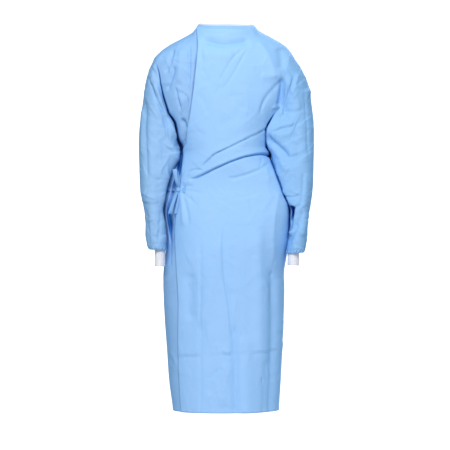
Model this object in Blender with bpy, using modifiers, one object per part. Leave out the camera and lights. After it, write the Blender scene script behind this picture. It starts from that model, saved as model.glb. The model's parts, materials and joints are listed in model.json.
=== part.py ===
"""A surgical gown as it is worn: cloth walls round an empty, general figure.

The wearer's back faces -Y, the front +Y, the wearer's right is +X, and +Z is up. The origin is
where the shoulders and neck hold the gown, at the middle of the neckline. Every panel lies on
one body form, which is a stack of rounded sections. All sizes are in metres.
"""

import math

import bpy
import numpy as np

# Driving dimensions.
WALL = 0.0012  # cloth wall of the panels and sleeves
KNIT_WALL = 0.0018  # knitted cuffs and the neck binding
SEAM_GAP = 0.00075  # between two sewn pieces
SLEEVE_GAP = 0.0010  # between a sleeve's end and its armhole
SLEEVE_BLEND = 1.6  # how far down its table a sleeve still follows the armhole's edge
GATHER_RISE = 0.002  # how far a sleeve's gathered end turns up round its cuff
NECK_HEIGHT = -0.009  # cut edge at the sides of the neck, under the binding
NECK_BACK_DROP = 0.006  # how much lower the back neck is cut
NECK_FRONT_DROP = 0.040
BINDING_HEIGHT = 0.0085
ARMHOLE_STEPS = 11  # rows of the mesh beside each armhole
ARMHOLE_ROUNDING = (0.65, 1.0)  # at an armhole's top and bottom: 1 is a round end, less a squarer one
LAP_LIFT = 0.0042  # the over panel's clearance from the under panel
UNDER_DROP = 0.0060  # the under panel's own set-back where it is covered
UNDER_EDGE = -0.012  # where the under panel ends, hidden, just short of the centre back
OVER_LIFTED = (1.85 * math.pi, 1.45 * math.pi)  # angles between which the over panel lifts
UNDER_SET_BACK = (1.12 * math.pi, 1.26 * math.pi)  # and the under panel goes in
FRONT_TAPE_LIFT = 0.0027  # the waist tapes' clearance from the panels they lie on
BACK_TAPE_LIFT = 0.0018
TAPE_WIDTH = 0.024
TAPE_NARROWING = 0.62  # how much of its width a tape loses where it is tied
FRONT_TAPE_START = (0.72 * math.pi, -0.522)  # angle and height where it is sewn to the front
BACK_TAPE_START = -0.128  # how far across it is sewn to the over panel
BOW_STEPS = 16  # points along each loop and tail
KNOT = (-0.1530, -0.0761, -0.5390)
KNOT_HALF_SIZES = (0.0065, 0.0060, 0.0085)
KNOT_SEAT = (KNOT[0] + 0.004, KNOT[2])  # across and height where the tapes meet under the knot
TAPE_STOPS = (0.10, 0.075)  # how far short of that the front and back tapes end, as angles

# Faces across each panel, and where the sleeves' rings are, in rows of their tables.
FRONT_COLUMNS = 20
BACK_LEFT_COLUMNS = 12
BACK_RIGHT_COLUMNS = 23
SLEEVE_STATIONS = (0.0, 0.25, 0.6, 1.0, 1.6, 2.3, 3.0, 3.7, 4.4, 5.2, 6.0, 7.0, 8.0, 9.0, 10.0, 11.0)
BINDING_COLUMNS = 55

# The body form, one row for each level: its reach to the wearer's left and right, to the back
# and to the front, the section's middle in depth and how square it is.
SECTIONS = (
    # height, left, right, back, front, middle, square
    (0.004, -0.070, 0.080, -0.056, 0.040, 0.000, 2.00),
    (-0.009, -0.082, 0.091, -0.068, 0.050, 0.000, 2.00),
    (-0.028, -0.110, 0.119, -0.086, 0.062, 0.000, 2.00),
    (-0.044, -0.137, 0.149, -0.098, 0.071, 0.000, 2.00),
    (-0.067, -0.182, 0.188, -0.110, 0.083, 0.000, 2.00),
    (-0.096, -0.220, 0.215, -0.120, 0.096, 0.000, 2.05),
    (-0.135, -0.247, 0.239, -0.127, 0.108, 0.000, 2.10),
    (-0.165, -0.250, 0.240, -0.129, 0.115, 0.000, 2.15),
    (-0.213, -0.234, 0.216, -0.130, 0.122, 0.000, 2.20),
    (-0.270, -0.212, 0.192, -0.130, 0.126, 0.002, 2.20),
    (-0.313, -0.188, 0.166, -0.129, 0.127, 0.005, 2.20),
    (-0.363, -0.168, 0.148, -0.127, 0.126, 0.010, 2.20),
    (-0.418, -0.152, 0.144, -0.124, 0.124, 0.020, 2.20),
    (-0.457, -0.163, 0.160, -0.119, 0.120, 0.044, 2.20),
    (-0.490, -0.180, 0.184, -0.113, 0.118, 0.055, 2.20),
    (-0.528, -0.192, 0.200, -0.112, 0.118, 0.058, 2.20),
    (-0.571, -0.201, 0.212, -0.119, 0.124, 0.057, 2.20),
    (-0.610, -0.203, 0.216, -0.127, 0.131, 0.055, 2.20),
    (-0.660, -0.198, 0.214, -0.135, 0.140, 0.048, 2.20),
    (-0.717, -0.196, 0.205, -0.141, 0.148, 0.039, 2.25),
    (-0.757, -0.199, 0.197, -0.143, 0.152, 0.034, 2.30),
    (-0.798, -0.203, 0.190, -0.144, 0.155, 0.031, 2.35),
    (-0.863, -0.203, 0.190, -0.144, 0.157, 0.027, 2.40),
    (-0.961, -0.199, 0.187, -0.144, 0.158, 0.022, 2.40),
    (-1.058, -0.192, 0.183, -0.144, 0.159, 0.018, 2.40),
    (-1.156, -0.185, 0.178, -0.144, 0.160, 0.014, 2.40),
    (-1.252, -0.172, 0.172, -0.143, 0.160, 0.012, 2.40),
)

# Rows of points down the panels: shares of the way from the neckline to the armholes' tops, and
# then each row below the armholes, by its height at both sides and how far its middle bows up.
# Round the waist the rows follow the creases drawn to the bow, and the last one is the hem.
SHOULDER_ROWS = (0.0, 0.10, 0.24, 0.42, 0.62, 0.82)
SKIRT_ROWS = (
    # left, right, bow
    (-0.440, -0.420, 0.004),
    (-0.460, -0.424, 0.009),
    (-0.480, -0.428, 0.014),
    (-0.500, -0.432, 0.018),
    (-0.511, -0.435, 0.021),
    (-0.520, -0.439, 0.022),
    (-0.529, -0.445, 0.022),
    (-0.540, -0.453, 0.020),
    (-0.552, -0.466, 0.017),
    (-0.566, -0.484, 0.013),
    (-0.583, -0.508, 0.009),
    (-0.605, -0.540, 0.005),
    (-0.635, -0.585, 0.002),
    (-0.680, -0.645, 0.000),
    (-0.740, -0.720, 0.000),
    (-0.815, -0.808, 0.000),
    (-0.910, -0.910, 0.000),
    (-1.020, -1.020, 0.000),
    (-1.135, -1.135, 0.000),
    (-1.252, -1.252, 0.000),
)

# The over panel's free edge, from the neckline to the hem.
OVER_EDGE = (
    # height, across
    (0.004, -0.074),
    (-0.016, -0.084),
    (-0.090, -0.090),
    (-0.210, -0.102),
    (-0.330, -0.119),
    (-0.400, -0.133),
    (-0.500, -0.143),
    (-0.537, -0.146),
    (-0.600, -0.155),
    (-0.665, -0.162),
    (-0.740, -0.161),
    (-0.863, -0.153),
    (-1.060, -0.151),
    (-1.190, -0.146),
    (-1.252, -0.141),
)

# Heights of the armholes' tops and bottoms, and half of their width, as an angle round the body.
ARMHOLES = {
    "left": {"top": -0.110, "bottom": -0.420, "half_angle": 0.49},
    "right": {"top": -0.092, "bottom": -0.416, "half_angle": 0.50},
}

# Each sleeve, one row for each ring: the ring's outer and inner end as seen from the back,
# the middle of its depth, and half of its depth.
SLEEVE_LEFT = (
    # outer_x, outer_z, inner_x, inner_z, middle, half_depth
    (-0.231, -0.110, -0.150, -0.420, 0.000, 0.082),
    (-0.257, -0.175, -0.154, -0.434, -0.001, 0.078),
    (-0.271, -0.262, -0.162, -0.452, -0.004, 0.074),
    (-0.281, -0.343, -0.172, -0.474, -0.010, 0.071),
    (-0.282, -0.408, -0.182, -0.501, -0.021, 0.066),
    (-0.280, -0.473, -0.191, -0.537, -0.029, 0.062),
    (-0.277, -0.538, -0.198, -0.573, -0.034, 0.058),
    (-0.267, -0.590, -0.203, -0.608, -0.037, 0.056),
    (-0.260, -0.636, -0.196, -0.648, -0.040, 0.054),
    (-0.260, -0.682, -0.193, -0.690, -0.043, 0.052),
    (-0.254, -0.718, -0.1925, -0.724, -0.045, 0.050),
    (-0.246, -0.731, -0.1930, -0.734, -0.048, 0.043),
)
SLEEVE_RIGHT = (
    # outer_x, outer_z, inner_x, inner_z, middle, half_depth
    (0.211, -0.092, 0.143, -0.416, 0.000, 0.082),
    (0.258, -0.180, 0.148, -0.430, -0.001, 0.078),
    (0.274, -0.262, 0.156, -0.448, -0.004, 0.074),
    (0.283, -0.343, 0.167, -0.468, -0.010, 0.071),
    (0.283, -0.408, 0.176, -0.492, -0.021, 0.066),
    (0.282, -0.473, 0.188, -0.524, -0.029, 0.062),
    (0.279, -0.538, 0.199, -0.563, -0.034, 0.058),
    (0.273, -0.590, 0.208, -0.602, -0.037, 0.056),
    (0.264, -0.636, 0.209, -0.645, -0.040, 0.054),
    (0.262, -0.682, 0.203, -0.686, -0.043, 0.052),
    (0.257, -0.724, 0.195, -0.730, -0.045, 0.050),
    (0.250, -0.741, 0.195, -0.744, -0.048, 0.043),
)

# The knitted cuffs: middle across, half width, and the heights of both ends.
CUFFS = {
    "left": {"across": -0.2135, "half_width": 0.0165, "top": -0.722, "bottom": -0.785},
    "right": {"across": 0.2170, "half_width": 0.0185, "top": -0.734, "bottom": -0.782},
}
CUFF_MIDDLE = -0.050
CUFF_HALF_DEPTH = 0.032

# Creases of the back, drawn towards the bow or hanging below it: both ends, how far the middle
# bows up, the depth of the trough (a ridge is negative) and its half width.
BACK_FOLDS = (
    # start_x, start_z, end_x, end_z, bow, depth, width
    (-0.108, -0.504, 0.150, -0.436, 0.022, 0.012, 0.013),
    (-0.085, -0.470, 0.160, -0.400, 0.022, -0.009, 0.018),
    (-0.077, -0.467, 0.124, -0.344, 0.008, 0.007, 0.012),
    (0.010, -0.501, 0.140, -0.446, -0.014, 0.006, 0.010),
    (-0.136, -0.500, -0.080, -0.470, 0.010, 0.005, 0.008),
    (-0.144, -0.552, -0.108, -0.655, 0.000, 0.005, 0.009),
    (-0.138, -0.548, -0.070, -0.640, 0.004, -0.004, 0.012),
    (-0.080, -0.071, 0.089, -0.060, -0.012, 0.004, 0.012),
    (0.068, -0.075, -0.020, -0.190, 0.006, 0.004, 0.011),
    (0.184, -0.170, 0.120, -0.245, 0.012, 0.005, 0.012),
    (-0.085, -0.660, -0.085, -1.250, 0.000, -0.003, 0.030),
    (0.010, -0.680, 0.000, -1.250, 0.000, 0.005, 0.035),
    (0.110, -0.640, 0.100, -1.250, 0.000, -0.005, 0.030),
    (0.155, -0.690, 0.150, -1.250, 0.000, 0.006, 0.016),
)

# Soft vertical folds of the front and sides: the angle round the body, the height where each
# starts, its depth and its half width as an angle.
HANGING_FOLDS = (
    # angle, start, depth, width
    (0.35, -0.600, 0.006, 0.10),
    (0.62, -0.700, -0.005, 0.12),
    (0.95, -0.580, 0.006, 0.11),
    (1.35, -0.660, -0.004, 0.14),
    (1.72, -0.600, 0.005, 0.12),
    (2.10, -0.680, -0.005, 0.12),
    (2.45, -0.560, 0.007, 0.11),
    (2.80, -0.640, -0.004, 0.09),
)

# Creases of the sleeves: where each runs round the sleeve (0 is the outer side, a quarter turn
# the back) and along it (0 is the armhole, 1 the cuff), its trough's depth and its half width.
SLEEVE_FOLDS = {
    "left": (
        # start_turn, start_along, end_turn, end_along, depth, width
        (0.10, 0.02, 0.33, 0.30, 0.007, 0.035),
        (0.22, 0.12, 0.30, 0.42, -0.005, 0.040),
        (0.12, 0.30, 0.15, 0.80, -0.004, 0.030),
        (0.62, 0.05, 0.82, 0.35, 0.006, 0.040),
        (0.70, 0.45, 0.95, 0.55, 0.005, 0.035),
        (0.20, 0.80, 0.34, 0.92, 0.004, 0.035),
        (0.55, 0.78, 0.80, 0.90, 0.004, 0.035),
    ),
    "right": (
        (0.12, 0.08, 0.36, 0.22, 0.006, 0.032),
        (0.18, 0.26, 0.36, 0.30, 0.006, 0.030),
        (0.34, 0.36, 0.22, 0.60, 0.006, 0.035),
        (0.10, 0.20, 0.12, 0.85, -0.004, 0.030),
        (0.62, 0.06, 0.84, 0.34, 0.006, 0.040),
        (0.16, 0.80, 0.34, 0.90, 0.006, 0.035),
        (0.60, 0.60, 0.90, 0.72, 0.004, 0.035),
    ),
}

# The bow's loops and tails: points of the tape's middle line, measured from the knot, the way
# its width runs, and its half width at the knot and at its widest.
BOW = {
    "bow_loop_upper": {
        "points": (
            (0.0000, -0.0030, 0.0079),
            (-0.0050, -0.0130, 0.0240),
            (-0.0090, -0.0170, 0.0440),
            (-0.0110, -0.0150, 0.0580),
            (-0.0110, -0.0090, 0.0650),
            (-0.0080, -0.0030, 0.0600),
            (-0.0030, 0.0000, 0.0440),
            (0.0010, 0.0010, 0.0240),
            (0.0020, 0.0010, 0.0088),
        ),
        "width_axis": (0.93, -0.36, 0.0),
        "half_widths": (0.0030, 0.0085),
    },
    "bow_loop_lower": {
        "points": (
            (-0.0030, -0.0040, -0.0072),
            (-0.0100, -0.0140, -0.0240),
            (-0.0190, -0.0200, -0.0480),
            (-0.0245, -0.0200, -0.0680),
            (-0.0265, -0.0130, -0.0790),
            (-0.0250, -0.0050, -0.0740),
            (-0.0190, -0.0010, -0.0540),
            (-0.0110, 0.0010, -0.0300),
            (-0.0040, 0.0010, -0.0086),
        ),
        "width_axis": (0.80, -0.60, 0.0),
        "half_widths": (0.0030, 0.0095),
    },
    "tie_tail_a": {
        "points": (
            (0.0020, -0.0035, -0.0084),
            (0.0005, -0.0110, -0.0280),
            (-0.0040, -0.0140, -0.0520),
            (-0.0090, -0.0140, -0.0760),
        ),
        "width_axis": (0.90, -0.40, 0.0),
        "half_widths": (0.0025, 0.0060),
    },
    "tie_tail_b": {
        "points": (
            (0.0045, 0.0020, -0.0087),
            (0.0060, -0.0010, -0.0240),
            (0.0040, -0.0040, -0.0440),
            (0.0010, -0.0050, -0.0600),
        ),
        "width_axis": (0.95, -0.30, 0.0),
        "half_widths": (0.0025, 0.0050),
    },
}

CLOTH_BLUE = (0.36, 0.62, 0.93, 1.0)
KNIT_WHITE = (0.86, 0.88, 0.93, 1.0)
TURN = 2.0 * math.pi


def smooth_column(table, column, where):
    """Reads one column of a table against its first column, as a smooth curve."""
    rows = np.array(sorted(row[:1] + (row[column],) for row in table))
    knots, values = rows[:, 0], rows[:, 1]
    slopes = np.gradient(values, knots)
    where = np.clip(where, knots[0], knots[-1])
    low = np.clip(np.searchsorted(knots, where) - 1, 0, len(knots) - 2)
    step = knots[low + 1] - knots[low]
    t = (where - knots[low]) / step
    rise = t * t * (3 - 2 * t)
    return (
        values[low] * (1 - rise)
        + values[low + 1] * rise
        + slopes[low] * step * t * (1 - t) ** 2
        - slopes[low + 1] * step * t * t * (1 - t)
    )


def ease(value, start, end):
    """Goes smoothly from 0 at start to 1 at end."""
    t = np.clip((value - start) / (end - start), 0.0, 1.0)
    return t * t * (3 - 2 * t)


def body_form(angle, height):
    """The smooth body form: an angle from +X round to +Y, and a height."""
    cosine, sine = np.cos(angle), np.sin(angle)
    left, right, back, front, middle, square = (
        smooth_column(SECTIONS, column, height) for column in range(1, 7)
    )
    reach_x = np.where(cosine > 0, right, -left)
    reach_y = np.where(sine > 0, front - middle, middle - back)
    radius = ((np.abs(cosine) / reach_x) ** square + (np.abs(sine) / reach_y) ** square) ** (-1 / square)
    return np.stack([radius * cosine, middle + radius * sine, height + 0 * angle], axis=-1)


def outward(angle, height):
    """The body form's unit normal, pointing away from the wearer."""
    small = 1e-3
    around = body_form(angle + small, height) - body_form(angle - small, height)
    up = body_form(angle, height + small) - body_form(angle, height - small)
    normal = np.cross(around, up)
    return normal / np.linalg.norm(normal, axis=-1, keepdims=True)


def angle_across(across, height):
    """The angle of the point on the back that lies this far across the gown."""
    left, right, back, middle, square = (
        smooth_column(SECTIONS, column, height) for column in (1, 2, 3, 5, 6)
    )
    reach = np.where(across > 0, right, -left)
    share = np.clip(np.abs(across) / reach, 0.0, 0.999)
    depth = (middle - back) * (1 - share**square) ** (1 / square)
    return np.arctan2(-depth, across) % TURN


def back_relief(across, height):
    """How far the back's creases move the cloth outwards."""
    relief = 0 * across
    for start_x, start_z, end_x, end_z, bow, depth, width in BACK_FOLDS:
        length = math.hypot(end_x - start_x, end_z - start_z)
        along_x, along_z = (end_x - start_x) / length, (end_z - start_z) / length
        along = ((across - start_x) * along_x + (height - start_z) * along_z) / length
        aside = (height - start_z) * along_x - (across - start_x) * along_z
        inside = np.clip(along, 0.0, 1.0)
        aside = aside - bow * 4 * inside * (1 - inside)
        taper = ease(along, -0.08, 0.12) * ease(along, 1.08, 0.88)
        relief = relief - depth * taper * np.exp(-((aside / width) ** 2))
    return relief


def hanging_relief(angle, height):
    """How far the soft vertical folds of the sides and front move the cloth outwards."""
    relief = 0 * angle
    for fold_angle, start, depth, width in HANGING_FOLDS:
        off = (angle - fold_angle + math.pi) % TURN - math.pi
        relief = relief - depth * ease(height, start, start - 0.25) * np.exp(-((off / width) ** 2))
    return relief


def body_surface(angle, height, lift=0.0):
    """The draped body surface, moved out by lift."""
    base = body_form(angle, height)
    on_back = ease(-np.sin(angle), 0.0, 0.25)
    relief = on_back * back_relief(base[..., 0], height) + hanging_relief(angle, height)
    return base + outward(angle, height) * (relief + lift)[..., None]


def over_lift(angle):
    """How far the over panel and its binding stand off the body form."""
    return LAP_LIFT * ease(angle, *OVER_LIFTED)


def under_lift(angle):
    """How far the under panel and its binding go in where they are covered."""
    return -UNDER_DROP * ease(angle, *UNDER_SET_BACK)


def neck_line(angle):
    """Height of the neckline's cut edge: highest at the sides of the neck."""
    front = NECK_FRONT_DROP * ease(np.sin(angle), 0.0, 1.0)
    back = NECK_BACK_DROP * ease(-np.sin(angle), 0.0, 1.0)
    return NECK_HEIGHT - front - back


def armhole_cut(side, turn):
    """How far round the body an armhole reaches to one side of its middle: turn is 0 at its top."""
    top, bottom = ARMHOLE_ROUNDING
    rounding = bottom + (top - bottom) * (0.5 + 0.5 * np.cos(turn))
    return ARMHOLES[side]["half_angle"] * np.abs(np.sin(turn)) ** rounding


def armhole_rows(side):
    """Heights of the rows beside an armhole, and how far round the body it cuts into each."""
    armhole = ARMHOLES[side]
    turn = np.linspace(0.0, math.pi, ARMHOLE_STEPS + 1)
    middle = (armhole["top"] + armhole["bottom"]) / 2
    heights = middle + (armhole["top"] - middle) * np.cos(turn)
    return heights, armhole_cut(side, turn)


def panel_grid(start, end, columns, lift):
    """Points of a panel, in rows from the neckline to the hem.

    start and end give the panel's edges as angles, from a height and the angles by which the
    left and the right armhole cut into that row. lift is a function of the angle.
    """
    tops = {side: ARMHOLES[side]["top"] for side in ARMHOLES}
    left_heights, left_cuts = armhole_rows("left")
    right_heights, right_cuts = armhole_rows("right")
    rows = [(share, tops["left"], tops["right"], 0.0, 0.0, 0.0) for share in SHOULDER_ROWS]
    for row in zip(left_heights, right_heights, left_cuts, right_cuts):
        rows.append((1.0, row[0], row[1], 0.0, row[2], row[3]))
    for left, right, bow in SKIRT_ROWS:
        rows.append((1.0, left, right, bow, 0.0, 0.0))

    across = np.linspace(0.0, 1.0, columns + 1)
    grid = []
    for share, left, right, bow, left_cut, right_cut in rows:
        first_height = last_height = (left + right) / 2 * share + NECK_HEIGHT * (1 - share)
        for _ in range(4):
            first = start(first_height, left_cut, right_cut)
            last = end(last_height, left_cut, right_cut)
            angle = first + (last - first) * across
            right_share = 0.5 + 0.5 * np.cos(angle)
            level = left + (right - left) * right_share + bow * np.sin(angle) ** 2
            height = neck_line(angle) * (1 - share) + level * share
            first_height, last_height = height[0], height[-1]
        grid.append(body_surface(angle, height, lift(angle)))
    return np.array(grid)


def cloth_object(name, grid, material, wall, closed=False):
    """Makes a cloth wall from rows of points, with its middle on those points."""
    rows, columns = grid.shape[:2]
    joins = columns if closed else columns - 1
    faces = []
    for row in range(rows - 1):
        for column in range(joins):
            beside = (column + 1) % columns
            here, below = row * columns, (row + 1) * columns
            faces.append((here + column, below + column, below + beside, here + beside))
    mesh = bpy.data.meshes.new(name)
    mesh.from_pydata(grid.reshape(-1, 3).tolist(), [], faces)
    mesh.materials.append(material)
    mesh.shade_smooth()
    cloth = bpy.data.objects.new(name, mesh)
    gown.objects.link(cloth)
    solidify = cloth.modifiers.new("wall", "SOLIDIFY")
    solidify.thickness = wall
    solidify.offset = 0.0
    return cloth


def make_material(name, colour, roughness):
    material = bpy.data.materials.new(name)
    material.use_nodes = True
    shader = material.node_tree.nodes["Principled BSDF"]
    shader.inputs["Base Color"].default_value = colour
    shader.inputs["Roughness"].default_value = roughness
    shader.inputs["Metallic"].default_value = 0.0
    return material


def seam_angle(height, angle):
    """The angle that half a seam's gap takes up at this height."""
    radius = np.linalg.norm(body_form(np.array([angle]), np.array([height]))[0, :2])
    return SEAM_GAP / 2 / radius


def over_edge_angle(height):
    """The angle of the over panel's free edge at this height."""
    return float(angle_across(smooth_column(OVER_EDGE, 1, height), height))


def make_front():
    """One piece from the right side seam to the left, cut out at both armholes."""
    grid = panel_grid(
        start=lambda height, left_cut, right_cut: seam_angle(height, 0.0) + right_cut,
        end=lambda height, left_cut, right_cut: math.pi - seam_angle(height, math.pi) - left_cut,
        columns=FRONT_COLUMNS,
        lift=lambda angle: 0 * angle,
    )
    return cloth_object("front", grid, make_material("front_cloth", CLOTH_BLUE, 0.6), WALL)


def make_back_left():
    """The under layer, from the left side seam to its hidden edge at the centre back."""
    grid = panel_grid(
        start=lambda height, left_cut, right_cut: math.pi + seam_angle(height, math.pi) + left_cut,
        end=lambda height, left_cut, right_cut: float(angle_across(UNDER_EDGE, height)),
        columns=BACK_LEFT_COLUMNS,
        lift=under_lift,
    )
    return cloth_object("back_left", grid, make_material("back_left_cloth", CLOTH_BLUE, 0.6), WALL)


def make_back_right():
    """The over layer, from its free edge by the bow to the right side seam."""
    grid = panel_grid(
        start=lambda height, left_cut, right_cut: over_edge_angle(height),
        end=lambda height, left_cut, right_cut: TURN - seam_angle(height, TURN) - right_cut,
        columns=BACK_RIGHT_COLUMNS,
        lift=over_lift,
    )
    return cloth_object("back_right", grid, make_material("back_right_cloth", CLOTH_BLUE, 0.6), WALL)


def ring(table, turn, along):
    """A sleeve's smooth form: turn is an angle from +X round to +Y, along is a station number."""
    stations = tuple((float(number),) + row for number, row in enumerate(table))
    outer_x, outer_z, inner_x, inner_z, middle, depth = (
        smooth_column(stations, column, along) for column in range(1, 7)
    )
    side = np.sign(outer_x)
    share = 0.5 + 0.5 * side * np.cos(turn)
    return np.stack(
        [
            inner_x + (outer_x - inner_x) * share,
            middle + depth * np.sin(turn),
            inner_z + (outer_z - inner_z) * share,
        ],
        axis=-1,
    )


def make_sleeve(side, table):
    """A tube from the armhole's cut edge down to the cuff, gathered in at its end."""
    steps = 2 * ARMHOLE_STEPS
    outer_turn = math.pi if side == "left" else 0.0
    sign = -1.0 if side == "left" else 1.0
    turns = outer_turn + np.arange(steps) * TURN / steps
    armhole = ARMHOLES[side]
    middle = (armhole["top"] + armhole["bottom"]) / 2
    height = middle + (armhole["top"] - middle) * np.cos(turns - outer_turn)
    angle = outer_turn + sign * armhole_cut(side, turns - outer_turn) * np.sign(np.sin(turns))
    edge = body_surface(angle, height)
    normal = outward(angle, height)
    low = 0.5 - 0.5 * np.cos(turns - outer_turn)
    start = ring(table, turns, np.zeros(steps))
    away = ring(table, turns, np.full(steps, 1.0)) - start
    away = away / np.linalg.norm(away, axis=-1, keepdims=True)
    edge = edge + away * (SLEEVE_GAP * (1 - low))[:, None] + normal * ((WALL + SLEEVE_GAP) * low)[:, None]
    rows = []
    for along in SLEEVE_STATIONS:
        row = ring(table, turns, np.full(steps, along))
        rows.append(row + (edge - start) * (1 - ease(along, 0.0, SLEEVE_BLEND)))
    rows.append(cuff_ring(side, turns, (KNIT_WALL + WALL) / 2 + SEAM_GAP, table[-1][3] + GATHER_RISE))
    grid = np.array(rows)
    along = np.array(SLEEVE_STATIONS + SLEEVE_STATIONS[-1:]) / SLEEVE_STATIONS[-1]
    grid = grid + grid_normals(grid) * sleeve_relief(side, turns, along)[..., None]
    material = make_material("sleeve_" + side + "_cloth", CLOTH_BLUE, 0.6)
    return cloth_object("sleeve_" + side, grid, material, WALL, closed=True)


def grid_normals(grid):
    """Unit normals of a closed tube of points, pointing out."""
    around = np.roll(grid, -1, axis=1) - np.roll(grid, 1, axis=1)
    down = np.gradient(grid, axis=0)
    normal = np.cross(down, around)
    return normal / np.linalg.norm(normal, axis=-1, keepdims=True)


def sleeve_relief(side, turns, along):
    """How far a sleeve's creases move the cloth outwards, for each point of its grid."""
    outer_turn = math.pi if side == "left" else 0.0
    sign = 1.0 if side == "left" else -1.0
    share = ((turns - outer_turn) * sign / TURN) % 1.0
    along = along[:, None]
    relief = 0 * along * share
    for start_turn, start, end_turn, end, depth, width in SLEEVE_FOLDS[side]:
        middle_along = np.clip((along - start) / (end - start), 0.0, 1.0)
        off = share[None, :] - (start_turn + (end_turn - start_turn) * middle_along)
        taper = ease(along, start - 0.04, start + 0.06) * ease(along, end + 0.04, end - 0.06)
        relief = relief - depth * taper * np.exp(-((off / width) ** 2))
    return relief * ease(along, 0.0, 0.08) * ease(along, 1.0, 0.93)


def cuff_ring(side, turns, clear, height):
    """Points round a cuff at this height, clear of its middle line by so much."""
    cuff = CUFFS[side]
    return np.stack(
        [
            cuff["across"] + (cuff["half_width"] + clear) * np.cos(turns),
            CUFF_MIDDLE + (CUFF_HALF_DEPTH + clear) * np.sin(turns),
            0 * turns + height,
        ],
        axis=-1,
    )


def make_cuff(side):
    """A knitted tube whose upper end is inside the sleeve's gathered end."""
    cuff = CUFFS[side]
    steps = 2 * ARMHOLE_STEPS
    outer_turn = math.pi if side == "left" else 0.0
    turns = outer_turn + np.arange(steps) * TURN / steps
    rows = [cuff_ring(side, turns, 0.0, height) for height in np.linspace(cuff["top"], cuff["bottom"], 4)]
    material = make_material("cuff_" + side + "_knit", KNIT_WHITE, 0.9)
    return cloth_object("cuff_" + side, np.array(rows), material, KNIT_WALL, closed=True)


def make_neck_binding():
    """A strip on the neckline's edge, from the over panel's corner round to the under panel's end."""
    start = over_edge_angle(NECK_HEIGHT)
    end = TURN + float(angle_across(UNDER_EDGE, NECK_HEIGHT))
    angle = np.linspace(start, end, BINDING_COLUMNS + 1)
    height = neck_line(angle)
    base = body_surface(angle, height, over_lift(angle) + under_lift(angle - TURN))
    lean = body_form(angle, height + BINDING_HEIGHT / 2) - body_form(angle, height)
    lean = lean / np.linalg.norm(lean, axis=-1, keepdims=True)
    rows = [base + lean * reach for reach in (BINDING_HEIGHT, 2 * SEAM_GAP)]
    material = make_material("binding_tape", KNIT_WHITE, 0.8)
    return cloth_object("neck_binding", np.array(rows), material, KNIT_WALL)


def smooth_path(points, count):
    """Points of a smooth curve through the given ones."""
    table = tuple((float(number),) + tuple(point) for number, point in enumerate(points))
    where = np.linspace(0.0, len(points) - 1.0, count)
    return np.stack([smooth_column(table, column, where) for column in (1, 2, 3)], axis=-1)


def make_tapes():
    """The two waist tapes, up to the knot: each lies on its panel, a little off it."""
    material = make_material("tape_cloth", CLOTH_BLUE, 0.6)
    knot_angle = float(angle_across(*KNOT_SEAT))
    start_angle, start_height = FRONT_TAPE_START
    share = np.linspace(0.0, 1.0, 16)
    angle = start_angle + (knot_angle - TAPE_STOPS[0] - start_angle) * share
    middle = start_height + (KNOT[2] - start_height) * share
    width = TAPE_WIDTH * (1 - TAPE_NARROWING * ease(share, 0.6, 1.0))
    rows = [body_surface(angle, middle + width * side, FRONT_TAPE_LIFT + 0 * angle) for side in (0.5, -0.5)]
    cloth_object("tie_front", np.array(rows), material, WALL)

    start_angle = float(angle_across(BACK_TAPE_START, KNOT[2]))
    share = np.linspace(1.0, 0.0, 6)
    angle = start_angle + (knot_angle + TAPE_STOPS[1] - start_angle) * share
    width = TAPE_WIDTH * (1 - TAPE_NARROWING * ease(share, 0.2, 1.0))
    lift = LAP_LIFT + BACK_TAPE_LIFT + 0 * angle
    rows = [body_surface(angle, KNOT[2] + width * side, lift) for side in (0.5, -0.5)]
    cloth_object("tie_back", np.array(rows), material, WALL)


def make_bow():
    """The knot, two loops and two hanging tails, each a bent strip of tape."""
    material = make_material("bow_cloth", CLOTH_BLUE, 0.6)
    bpy.ops.mesh.primitive_uv_sphere_add(segments=12, ring_count=8, radius=1.0, location=KNOT)
    knot = bpy.context.active_object
    knot.name = "knot"
    knot.data.name = "knot"
    knot.scale = KNOT_HALF_SIZES
    bpy.ops.object.transform_apply(location=False, rotation=False, scale=True)
    knot.data.materials.append(material)
    knot.data.shade_smooth()
    for collection in knot.users_collection:
        collection.objects.unlink(knot)
    gown.objects.link(knot)

    for name, tape in BOW.items():
        path = smooth_path(tape["points"], BOW_STEPS) + np.array(KNOT)
        share = np.linspace(0.0, 1.0, BOW_STEPS)
        looped = name.startswith("bow_loop")
        swell = np.sin(math.pi * share) if looped else ease(share, 0.0, 0.6)
        narrow, wide = tape["half_widths"]
        half = (narrow + (wide - narrow) * swell)[:, None] * np.array(tape["width_axis"])
        cloth_object(name, np.array([path + half, path - half]), material, WALL)


for leftover in list(bpy.data.objects):
    bpy.data.objects.remove(leftover, do_unlink=True)

gown = bpy.data.collections.new("surgical_gown")
bpy.context.scene.collection.children.link(gown)

make_front()
make_back_left()
make_back_right()
make_sleeve("left", SLEEVE_LEFT)
make_sleeve("right", SLEEVE_RIGHT)
make_cuff("left")
make_cuff("right")
make_neck_binding()
make_tapes()
make_bow()
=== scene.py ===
# %% [markdown]
# # A disposable surgical gown, worn, seen from behind
#
# The gown is a light blue wrap gown of non-woven cloth with white knitted cuffs. It is shown in the
# shape that it takes on a wearer, but empty. Each piece that a maker cuts and sews is one mesh
# here: the front, two backs, two sleeves, two cuffs, the neck binding, the waist ties and their
# bow.
#
# Such a gown could be draped with cloth simulation. Here every surface is worked out with numpy
# from the same few sizes as the solid parts, and its creases are drawn in the gown's own
# millimetres, because their exact places are what makes the wrap and its tie readable.

# %% Load the frame
import json
import math

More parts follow.
